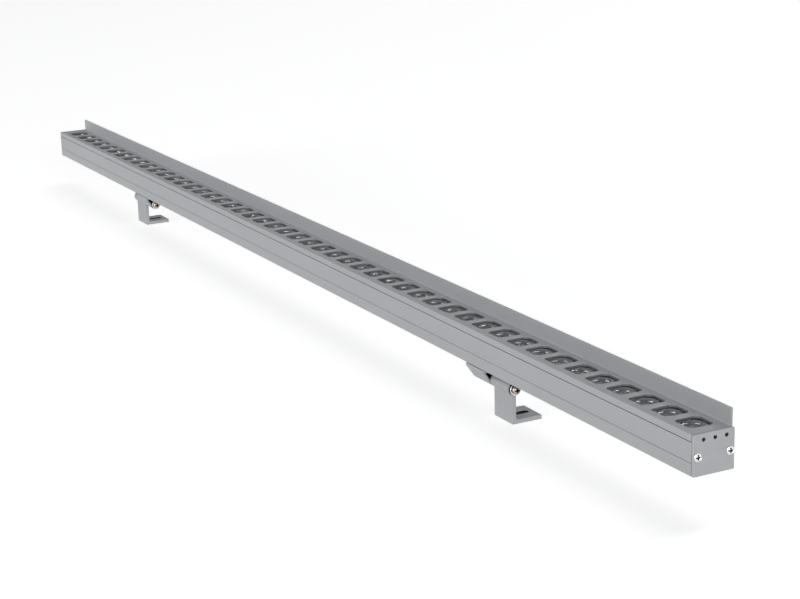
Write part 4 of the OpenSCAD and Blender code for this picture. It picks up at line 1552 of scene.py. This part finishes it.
@dataclass(frozen=True)
class Clamp:
    """Clamp profile: a head in the slot, a flange with a rear wing, and a hollow nose that carries the knuckle."""

    sizes: BracketSizes
    bar: BarSizes
    front_y: float = 0.5
    rear_y: float = 24.5
    top_z: float = -0.7
    flange_t: float = 1.6
    wing_t: float = 2.6
    slant_t: float = 1.2
    web_t: float = 2.6
    bend: float = 1.0
    neck_w: float = 5.6
    head_w: float = 9.9
    head_z: float = 1.7
    head_h: float = 2.6
    edge: float = 0.2
    fine_edge: float = 0.15
    head_edge: float = 0.3
    saw_edge: float = 0.12
    hollow_edge: float = 0.08
    screw_y: float = 19.3
    screw_spacing: float = 10
    screw_l: float = 4.0
    socket_w: float = 1.5
    socket_z: float = -2.0
    hole_r: float = 1.58

    def section(self) -> tuple[Array, Array]:
        """Draws the section. The slanted wall is tangent to the knuckle.

        Its slope is atan2(h, w) + asin(r / R), where w, h and R are the width, the height and the
        distance from the wall's start to the pivot, and it touches the knuckle after sqrt(R R - r r).

        Returns:
            The outline and the triangular hollow.
        """
        s, r = self.sizes, self.sizes.knuckle_r
        low = self.top_z - self.flange_t
        reach = math.hypot(s.pivot_y - self.front_y, low - s.pivot_z)
        slope = math.atan2(low - s.pivot_z, s.pivot_y - self.front_y) + math.asin(r / reach)
        run = math.sqrt(reach ** 2 - r ** 2)
        along, across = (math.cos(slope), -math.sin(slope)), (math.sin(slope), math.cos(slope))
        touch = math.degrees(math.atan2(low + run * along[1] - s.pivot_z, self.front_y + run * along[0] - s.pivot_y))
        mid, wing_y = self.bar.mid_y, s.pivot_y + r
        wing_z = self.top_z - self.wing_t
        head_top = self.head_z + self.head_h
        neck, wide = mid + self.neck_w / 2, mid + self.head_w / 2
        head = [(neck, self.top_z, self.fine_edge), (neck, self.head_z, 0.1), (wide, self.head_z, self.edge),
                (wide, head_top, self.head_edge)]
        outer = outline([(self.front_y, self.top_z, self.fine_edge), (self.front_y, low, 0.12),
                         *arc((s.pivot_y, s.pivot_z), r, touch % 360, 360, 28), (wing_y, wing_z, self.bend),
                         (self.rear_y, wing_z, self.edge), (self.rear_y, self.top_z, self.edge),
                         *head, *[(2 * mid - y, z, c) for y, z, c in head[::-1]]], 4)
        web_y = wing_y - self.web_t
        inner = (self.front_y + self.slant_t * across[0], low + self.slant_t * across[1])
        down = (inner[1] - low) / -along[1]
        corner = inner[0] + down * along[0]
        foot = run - math.sqrt(r ** 2 - (r - self.slant_t) ** 2)
        left = math.degrees(math.atan2(inner[1] + foot * along[1] - s.pivot_z,
                                       inner[0] + foot * along[0] - s.pivot_y))
        right = math.degrees(math.acos((web_y - s.pivot_y) / r))
        hollow = outline([(corner, low, self.fine_edge), (web_y, low, self.fine_edge),
                          *arc((s.pivot_y, s.pivot_z), r, right, left, 12)], 3)
        return outer, hollow

    def build(self, shop: Workshop, finishes: Finishes, side: str, x: float) -> None:
        """Makes one clamp, with its two set screws.

        Args:
            shop: The workshop.
            finishes: The finishes.
            side: Which bracket, near or far.
            x: Where the clamp starts along the bar.
        """
        s, end = self.sizes, x + self.sizes.clamp_l
        outer, hollow = self.section()
        walls = [edged_wall(outer, x, end, self.saw_edge, self.saw_edge),
                 edged_wall(hollow, x, end, self.hollow_edge, self.hollow_edge, 2), s.bore(x, end)]
        places = [x + s.clamp_l / 2 + k * self.screw_spacing / 2 for k in (-1, 1)]
        hole = np.array([[-9, 0], [-9, self.hole_r], [2, self.hole_r], [2, 0]], float)
        cutters = [turned(hole[:, 0], hole[:, 1], (px, self.screw_y, -2), Facing.UP, 32) for px in places]
        # painted shade: the walls of the triangular hollow are marked dark
        shop.add(f"{side}_clamp_profile", between(walls, [1]), finishes.bracket, f"{side}_clamp", "anodised",
                 [f"{side}_bracket_clamp"], cutter=joined(*cutters))
        shop.add(f"{side}_grub_screws", joined(*(self.grub_screw(px) for px in places)), finishes.black_steel,
                 f"{side}_clamp", "black_steel", [f"{side}_set_screws"])

    def grub_screw(self, x: float) -> Shell:
        """Makes an M3 grub screw with a hexagon socket in its lower end, from the socket's floor outwards and up.

        Args:
            x: Its place along the bar.

        Returns:
            The screw's surface.
        """
        count, length, crest, pitch = 48, self.screw_l, self.sizes.bolt_r, 0.5
        rows = np.arange(-length + 0.3, -0.3, pitch / 8)
        socket = hexagon(self.socket_w, count)
        height = np.r_[self.socket_z, self.socket_z, -length + 0.12, -length, -length, rows, 0.0, 0.0]
        radius = np.vstack([np.zeros(count), socket, socket, np.full(count, 0.95), np.full(count, crest - 0.3),
                            crest - thread(rows, count, pitch, 0.27), np.full(count, crest - 0.4),
                            np.zeros(count)])
        return turned(height, radius, (x, self.screw_y, -self.sizes.play), Facing.UP, count)


@dataclass(frozen=True)
class Foot:
    """Foot profile: a knuckle, an upright and a plate with a screw slot."""

    sizes: BracketSizes
    thick: float = 2.6
    length: float = 20.2
    sole_z: float = -29
    bend: float = 1.0
    heel: float = 0.4
    slot_w: float = 4.6
    slot_l: float = 11.5
    slot_edge: float = 3.2
    tip_r: float = 0.6
    edge: float = 0.2
    joint_edge: float = 0.3
    fine_edge: float = 0.15

    @property
    def tip(self) -> float:
        """Where the sole ends."""
        return self.sizes.pivot_y - self.thick / 2 + self.length

    @property
    def top(self) -> float:
        """Height of the sole's upper face."""
        return self.sole_z + self.thick

    def section(self) -> Array:
        """Draws the section.

        Returns:
            The outline, from the heel along the sole and up to the knuckle.
        """
        s, r = self.sizes, self.sizes.knuckle_r
        meet = math.degrees(math.asin(self.thick / 2 / r))
        knuckle = arc((s.pivot_y, s.pivot_z), r, -90 + meet, 270 - meet, 44)
        knuckle[[0, -1], 2] = self.joint_edge
        return outline([(s.pivot_y - self.thick / 2, self.sole_z, self.heel), (self.tip, self.sole_z, self.edge),
                        (self.tip, self.top, self.edge), (s.pivot_y + self.thick / 2, self.top, self.bend),
                        *knuckle], 4)

    def cutter(self, x: float) -> Shell:
        """Makes what is cut out of the foot.

        Args:
            x: Where the foot starts along the bar.

        Returns:
            The slot with a small flare at both faces, and the waste outside the tip's round corners.
        """
        s, mid, tip, top, flare = self.sizes, x + self.sizes.foot_w / 2, self.tip, self.top, self.fine_edge
        rear = tip - self.slot_edge - self.slot_w / 2
        front = rear - self.slot_l + self.slot_w
        r = self.slot_w / 2
        plan = np.concatenate([arc((mid, rear), r, 0, 180, 16), arc((mid, front), r, 180, 360, 16)])[:, :2]
        stations = [(self.sole_z - 1, flare), (self.sole_z, flare), (self.sole_z + flare, 0), (top - flare, 0),
                    (top, flare), (top + 1, flare)]
        rings = np.array([np.column_stack([plan - grow * inward(plan), np.full(len(plan), z)])
                          for z, grow in stations])
        parts = [sheet(rings), flat_face([rings[0]], (0, 0, -1)), flat_face([rings[-1]], (0, 0, 1))]
        for corner, sign in ((x, 1), (x + s.foot_w, -1)):
            bend = arc((corner + sign * self.tip_r, tip - self.tip_r), self.tip_r, 90, 180 if sign > 0 else 0, 6)
            loop = np.concatenate([bend[:, :2], [[corner - sign, tip - self.tip_r], [corner - sign, tip + 1],
                                                 [corner + sign * self.tip_r, tip + 1]]])
            loop = loop if sign > 0 else loop[::-1]
            column = np.array([np.column_stack([loop, np.full(len(loop), z)])
                               for z in (self.sole_z - 1, top + 1)])
            turn = np.sum(loop[:, 0] * np.roll(loop[:, 1], -1) - np.roll(loop[:, 0], -1) * loop[:, 1])
            wall = sheet(column) if turn > 0 else sheet(column).flipped()
            parts += [wall, flat_face([column[0]], (0, 0, -1)), flat_face([column[1]], (0, 0, 1))]
        return joined(*parts)

    def build(self, shop: Workshop, finishes: Finishes, side: str, x: float) -> None:
        """Makes one foot.

        Args:
            shop: The workshop.
            finishes: The finishes.
            side: Which bracket, near or far.
            x: Where the foot starts along the bar.
        """
        s, end = self.sizes, x + self.sizes.foot_w
        shell = between([edged_wall(self.section(), x, end, self.fine_edge, self.fine_edge), s.bore(x, end)])
        mid, rear, more = x + s.foot_w / 2, self.tip - self.slot_edge, 0.1
        reach = self.slot_w / 2 + more
        # painted shade on the slot's walls: the box takes in the walls and leaves out the sole's faces
        dark = ((mid - reach, rear - self.slot_l - more, self.sole_z + more),
                (mid + reach, rear + more, self.top - more))
        shop.add(f"{side}_foot_profile", shell, finishes.bracket, f"{side}_foot", "anodised",
                 [f"{side}_bracket_foot"], cutter=self.cutter(x), dark=dark)


@dataclass(frozen=True)
class PivotHardware:
    """Bolt, washers and nut of one pivot. Heights run towards the near end from the face the stack stands on."""

    sizes: BracketSizes
    nylon_t: float = 1.0
    nylon_r: float = 3.9
    friction_t: float = 0.5
    washer_r: float = 3.5
    washer_t: float = 0.8
    spring_r: float = 2.8
    spring_t: float = 0.7
    head_r: float = 2.7
    head_h: float = 1.9
    nut_w: float = 5.5
    nut_t: float = 2.2
    nut_cone: float = 1.1
    nut_chamfer: tuple[tuple[float, float], ...] = ((0, -0.32), (0.1, -0.15), (0.2, 0.02), (0.45, 0.5))
    nut_sink: float = 0.25
    bolt_end: float = 0.8
    bolt_rim: float = 0.45
    bolt_pitch: float = 0.5
    bolt_tail: float = 3.6
    split_turn: float = 348
    split_start: float = 96
    split_rise: float = 0.12
    edge: float = 0.12
    nylon_edge: float = 0.15
    friction_edge: float = 0.1
    clear_r: float = 0.02
    clear_t: float = 0.01

    def nut(self, face: float) -> Shell:
        """Makes a hexagon nut with chamfered corners.

        Args:
            face: X of the face that it bears on.

        Returns:
            The nut's surface, up its outside and down its bore.
        """
        s, count, t, sink = self.sizes, 96, self.nut_t, self.nut_sink
        rows, outer = chamfered_hexagon(self.nut_w, 0, t, self.nut_cone, self.nut_chamfer, count)
        bore = np.array([[t, s.bore_r + sink], [t - sink, s.bore_r], [sink, s.bore_r], [0, s.bore_r + sink]])
        height = np.r_[rows, bore[:, 0]]
        radius = np.concatenate([outer, np.broadcast_to(bore[:, 1:2], (4, count))])
        origin = (face - s.play - t, s.pivot_y, s.pivot_z)
        return turned(height, radius, origin, Facing.NEAR, count, wrap=True)

    def spring(self, face: float) -> Shell:
        """Makes a split spring washer: its square section rises a little on its way round the bolt.

        Args:
            face: X of the face that it stands on.

        Returns:
            The washer's surface.
        """
        s, e = self.sizes, self.edge
        inner, high = s.bolt_r + e, self.spring_t - self.split_rise
        section = outline([(0, inner, e), (0, self.spring_r, e), (high, self.spring_r, e), (high, inner, e)], 2)
        angle = np.radians(np.linspace(self.split_start, self.split_start + self.split_turn, 61))[:, None]
        x = section[None, :, 0] + np.linspace(0, self.split_rise, 61)[:, None]
        body = np.stack([x, section[None, :, 1] * np.cos(angle), section[None, :, 1] * np.sin(angle)], -1)
        body += [face, s.pivot_y, s.pivot_z]
        angle = angle[:, 0]
        first, last = angle[0], angle[-1]
        ends = [flat_face([body[0]], (0, math.sin(first), -math.cos(first))),
                flat_face([body[-1]], (0, -math.sin(last), math.cos(last)))]
        return joined(sheet(body), *ends)

    def build(self, shop: Workshop, finishes: Finishes, side: str, stack: float, nut: float, joint: float) -> None:
        """Makes the hardware.

        Args:
            shop: The workshop.
            finishes: The finishes.
            side: Which bracket, near or far.
            stack: X of the face that the washers stand on.
            nut: X of the face that the nut bears on.
            joint: X of the gap between the knuckles.
        """
        s, body = self.sizes, f"{side}_clamp"
        axis = (0.0, s.pivot_y, s.pivot_z)
        nylon = stack + s.play
        plain = nylon + self.nylon_t
        spring = plain + self.washer_t
        head = spring + self.spring_t
        rings = [washer(s.bore_r, self.nylon_r - self.clear_r, low, low + thick, edge, axis, Facing.NEAR)
                 for low, thick, edge in ((nylon, self.nylon_t, self.nylon_edge),
                                          (joint + s.play, self.friction_t, self.friction_edge))]
        shop.add(f"{side}_nylon_washers", joined(*rings), finishes.nylon, body, "nylon",
                 [f"{side}_friction_washers"])
        flat = washer(s.bore_r, self.washer_r, plain + self.clear_t, spring - self.clear_t, self.edge, axis,
                      Facing.NEAR)
        shop.add(f"{side}_plain_washer", flat, finishes.steel, body, "steel", [f"{side}_pivot_washer"])
        shop.add(f"{side}_split_washer", self.spring(spring), finishes.spring_steel, body, "black_steel",
                 [f"{side}_spring_washer"])
        tail = nut - s.play - self.nut_t - self.bolt_end
        screw = CrossHead(radius=self.head_r, rise=self.head_h - self.bolt_rim, rim=self.bolt_rim, seat=0.001,
                          shank_r=s.bolt_r, length=head - tail, depth=1.1, arm=0.9, reach=3.0)
        bolt = screw.build((head, s.pivot_y, s.pivot_z), Facing.NEAR, self.bolt_pitch, self.bolt_tail)
        shop.add(f"{side}_swivel_bolt", bolt, finishes.bolt, body, "steel", [f"{side}_pivot_bolt"])
        shop.add(f"{side}_hex_nut", self.nut(nut), finishes.steel, body, "steel", [f"{side}_pivot_nut"])


@dataclass(frozen=True)
class Bracket:
    """One bracket: its clamp, its foot and its pivot hardware, placed along the bar."""

    side: str
    clamp_x: float
    foot_x: float

    def build(self, shop: Workshop, finishes: Finishes, bar: BarSizes) -> None:
        """Makes the bracket. The stack stands on whichever piece is nearer the near end.

        Args:
            shop: The workshop.
            finishes: The finishes.
            bar: The bar's sizes.
        """
        sizes = BracketSizes()
        Clamp(sizes, bar).build(shop, finishes, self.side, self.clamp_x)
        Foot(sizes).build(shop, finishes, self.side, self.foot_x)
        joint, stack = sorted((self.foot_x + sizes.foot_w, self.clamp_x + sizes.clamp_l))
        PivotHardware(sizes).build(shop, finishes, self.side, stack, min(self.foot_x, self.clamp_x), joint)


# ---------------------------------------------------------------- studio


def square(name: str, half: float) -> bpy.types.Mesh:
    """A flat square mesh about its own middle.

    Args:
        name: The mesh's name.
        half: Half its width in metres.

    Returns:
        The mesh, facing up.
    """
    mesh = bpy.data.meshes.new(name)
    mesh.from_pydata([(-half, -half, 0), (half, -half, 0), (half, half, 0), (-half, half, 0)], [], [(0, 1, 2, 3)])
    return mesh


@dataclass(frozen=True)
class Strip:
    """A strip lamp from start to end, in metres, that looks at the middle of the light."""

    name: str
    start: tuple[float, float, float]
    end: tuple[float, float, float]
    width: float
    power: float

    def build(self) -> None:
        """Makes the lamp. Its long side lies along the strip, square to the way it looks."""
        data = bpy.data.lights.new(self.name, "AREA")
        middle, run = (Vector(self.start) + Vector(self.end)) / 2, Vector(self.end) - Vector(self.start)
        data.shape, data.size, data.size_y, data.energy = "RECTANGLE", run.length, self.width, self.power
        back = middle.normalized()
        along = (run - run.dot(back) * back).normalized()
        turn = Matrix((along, back.cross(along), back)).transposed().to_4x4()
        put(self.name, data).matrix_world = Matrix.Translation(middle) @ turn


@dataclass(frozen=True)
class Sun:
    """An even light from the direction of at. Its spread in degrees softens its shadows."""

    name: str
    at: tuple[float, float, float]
    spread: float
    strength: float

    def build(self) -> None:
        """Makes the light."""
        data = bpy.data.lights.new(self.name, "SUN")
        data.angle, data.energy = math.radians(self.spread), self.strength
        put(self.name, data).rotation_euler = (-Vector(self.at)).to_track_quat("-Z", "Y").to_euler()


@dataclass(frozen=True)
class Card:
    """A square dark card that faces the light and shows only in its gloss, as a photographer's flag."""

    name: str
    at: tuple[float, float, float]
    size: float
    colour: str = "#3a3b3d"
    roughness: float = 0.9

    def build(self) -> None:
        """Makes the card and its paper."""
        card = put(self.name, square(self.name, self.size / 2))
        card.location = self.at
        card.rotation_euler = Vector(self.at).to_track_quat("-Z", "Y").to_euler()
        paper = bpy.data.materials.new("black_flag_card")
        paper.use_nodes = True
        feed(paper.node_tree, paper.node_tree.nodes["Principled BSDF"],
             {"Base Color": self.colour, "Roughness": self.roughness})
        card.data.materials.append(paper)
        card.visible_camera = False


@dataclass(frozen=True)
class Studio:
    """White floor and background, soft lamps, and a camera at the photograph's place."""

    camera_at: tuple[float, float, float] = (1.2045856, -0.534508, 0.3633055)
    camera_right: tuple[float, float, float] = (0.46473702, 0.8850512, -0.02653065)
    camera_down: tuple[float, float, float] = (0.22502506, -0.14703293, -0.96319522)
    camera_ahead: tuple[float, float, float] = (-0.85637797, 0.44166242, -0.26749035)
    lens_mm: float = 84.2014
    fill: str = "#f4f5f7"
    fill_strength: float = 0.24
    floor_half: float = 12.0
    floor_colour: str = "#d4d4d4"
    floor_glow: float = 0.65
    floor_soft: float = 0.8
    props: tuple[Card | Sun | Strip, ...] = (
        Card("rear_flag", (-8.8, 4.6, 3.4), 8.8),
        Card("top_flag", (-4.4, 2.2, 7.6), 7.2),
        Sun("front", (0.25, -1.0, 0.15), 24, 1.24),
        Sun("side", (1.0, -0.2, 0.14), 24, 1.14),
        Sun("over", (-0.1, 0.38, 1.0), 30, 0.9),
        Strip("left_sparkle", (-5.0, 2.6, 3.6), (-5.8, 2.1, 3.0), 0.6, 11),
        Strip("right_sparkle", (-3.4, 4.2, 4.15), (-4.1, 3.6, 4.1), 0.6, 14),
    )

    def camera(self) -> None:
        """Places the camera by its three directions."""
        data = bpy.data.cameras.new("camera")
        data.sensor_width, data.lens = 36, self.lens_mm
        data.clip_start, data.clip_end = 0.01, 100
        right, down, ahead = (Vector(v) for v in (self.camera_right, self.camera_down, self.camera_ahead))
        turn = Matrix((right, -down, -ahead)).transposed().to_4x4()
        eye = put("camera", data)
        eye.matrix_world = Matrix.Translation(self.camera_at) @ turn
        bpy.context.scene.camera = eye

    def seen(self, tree: Tree) -> Socket:
        """Tells what the camera sees straight, in a gloss or through something clear.

        Args:
            tree: The node tree.

        Returns:
            1 where it is seen so, else 0.
        """
        path = add_node(tree, "ShaderNodeLightPath")
        either = add_node(tree, "ShaderNodeMath", {"operation": "MAXIMUM"},
                          {0: path.outputs["Is Camera Ray"], 1: path.outputs["Is Glossy Ray"]})
        every = add_node(tree, "ShaderNodeMath", {"operation": "MAXIMUM"},
                         {0: either.outputs[0], 1: path.outputs["Is Transmission Ray"]})
        return every.outputs[0]

    def world(self) -> None:
        """White where it is seen, and a soft grey light elsewhere."""
        world = bpy.data.worlds.new("studio")
        world.use_nodes = True
        tree = world.node_tree
        tree.nodes.clear()
        light = add_node(tree, "ShaderNodeBackground", inputs={0: self.fill, 1: self.fill_strength})
        white = add_node(tree, "ShaderNodeBackground", inputs={0: "#ffffff", 1: 1.0})
        mix = add_node(tree, "ShaderNodeMixShader",
                       inputs={0: self.seen(tree), 1: light.outputs[0], 2: white.outputs[0]})
        add_node(tree, "ShaderNodeOutputWorld", inputs={0: mix.outputs[0]})
        bpy.context.scene.world = world

    def floor(self) -> None:
        """Makes a broad white floor that keeps the light's soft shadow, and is clear from below."""
        floor = put("floor", square("floor", self.floor_half))
        made = bpy.data.materials.new("white_paper_floor")
        made.use_nodes = True
        tree = made.node_tree
        tree.nodes.clear()
        plain = add_node(tree, "ShaderNodeBsdfDiffuse", inputs={0: self.floor_colour})
        glow = add_node(tree, "ShaderNodeEmission", inputs={0: "#ffffff", 1: self.floor_glow})
        soft = add_node(tree, "ShaderNodeBsdfDiffuse", inputs={0: (self.floor_soft,) * 3 + (1,)})
        lit = add_node(tree, "ShaderNodeAddShader", inputs={0: glow.outputs[0], 1: soft.outputs[0]})
        above = add_node(tree, "ShaderNodeMixShader",
                         inputs={0: self.seen(tree), 1: plain.outputs[0], 2: lit.outputs[0]})
        clear = add_node(tree, "ShaderNodeBsdfTransparent")
        under = add_node(tree, "ShaderNodeNewGeometry").outputs["Backfacing"]
        both = add_node(tree, "ShaderNodeMixShader", inputs={0: under, 1: above.outputs[0], 2: clear.outputs[0]})
        add_node(tree, "ShaderNodeOutputMaterial", inputs={0: both.outputs[0]})
        floor.data.materials.append(made)

    def build(self) -> None:
        """Makes the whole studio."""
        self.camera()
        self.world()
        self.floor()
        for prop in self.props:
            prop.build()
        bpy.context.scene.view_settings.view_transform = "Standard"


def main() -> None:
    logging.basicConfig(level=logging.INFO, format="%(name)s %(message)s")
    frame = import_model()
    bar = BarSizes()
    low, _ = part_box("lower_housing")
    shop = Workshop(np.array(low, float) - np.array([bar.start, 0, 0]) * MM, frame["nodes"])
    finishes = Finishes()
    Studio().build()
    Housing(bar).build(shop, finishes)
    Cover(bar).build(shop, finishes)
    LensStrips(bar).build(shop, finishes)
    EndCaps(bar).build(shop, finishes)
    Inlet(bar).build(shop, finishes)
    Bracket(side="near", clamp_x=773.4, foot_x=794.5).build(shop, finishes, bar)
    Bracket(side="far", clamp_x=206.1, foot_x=185.0).build(shop, finishes, bar)
    dressed = {"thermal_strip": finishes.thermal, "board_screws": finishes.steel, "board_links": finishes.insert,
               "cover_seal_front": finishes.silicone, "cover_seal_rear": finishes.silicone,
               "near_end_plug": finishes.foam, "far_end_plug": finishes.foam,
               "near_end_gasket": finishes.gasket, "far_end_gasket": finishes.gasket,
               "inlet_insert": finishes.insert, "supply_wire_plus": finishes.wire_red,
               "supply_wire_minus": finishes.wire_black}
    for i in range(1, bar.strips + 1):
        dressed[f"led_board_{i}"] = finishes.mask
        dressed[f"leds_{i}"] = finishes.phosphor
    for node, finish in dressed.items():
        shop.dress(node, finish)


if __name__ == "__main__":
    main()
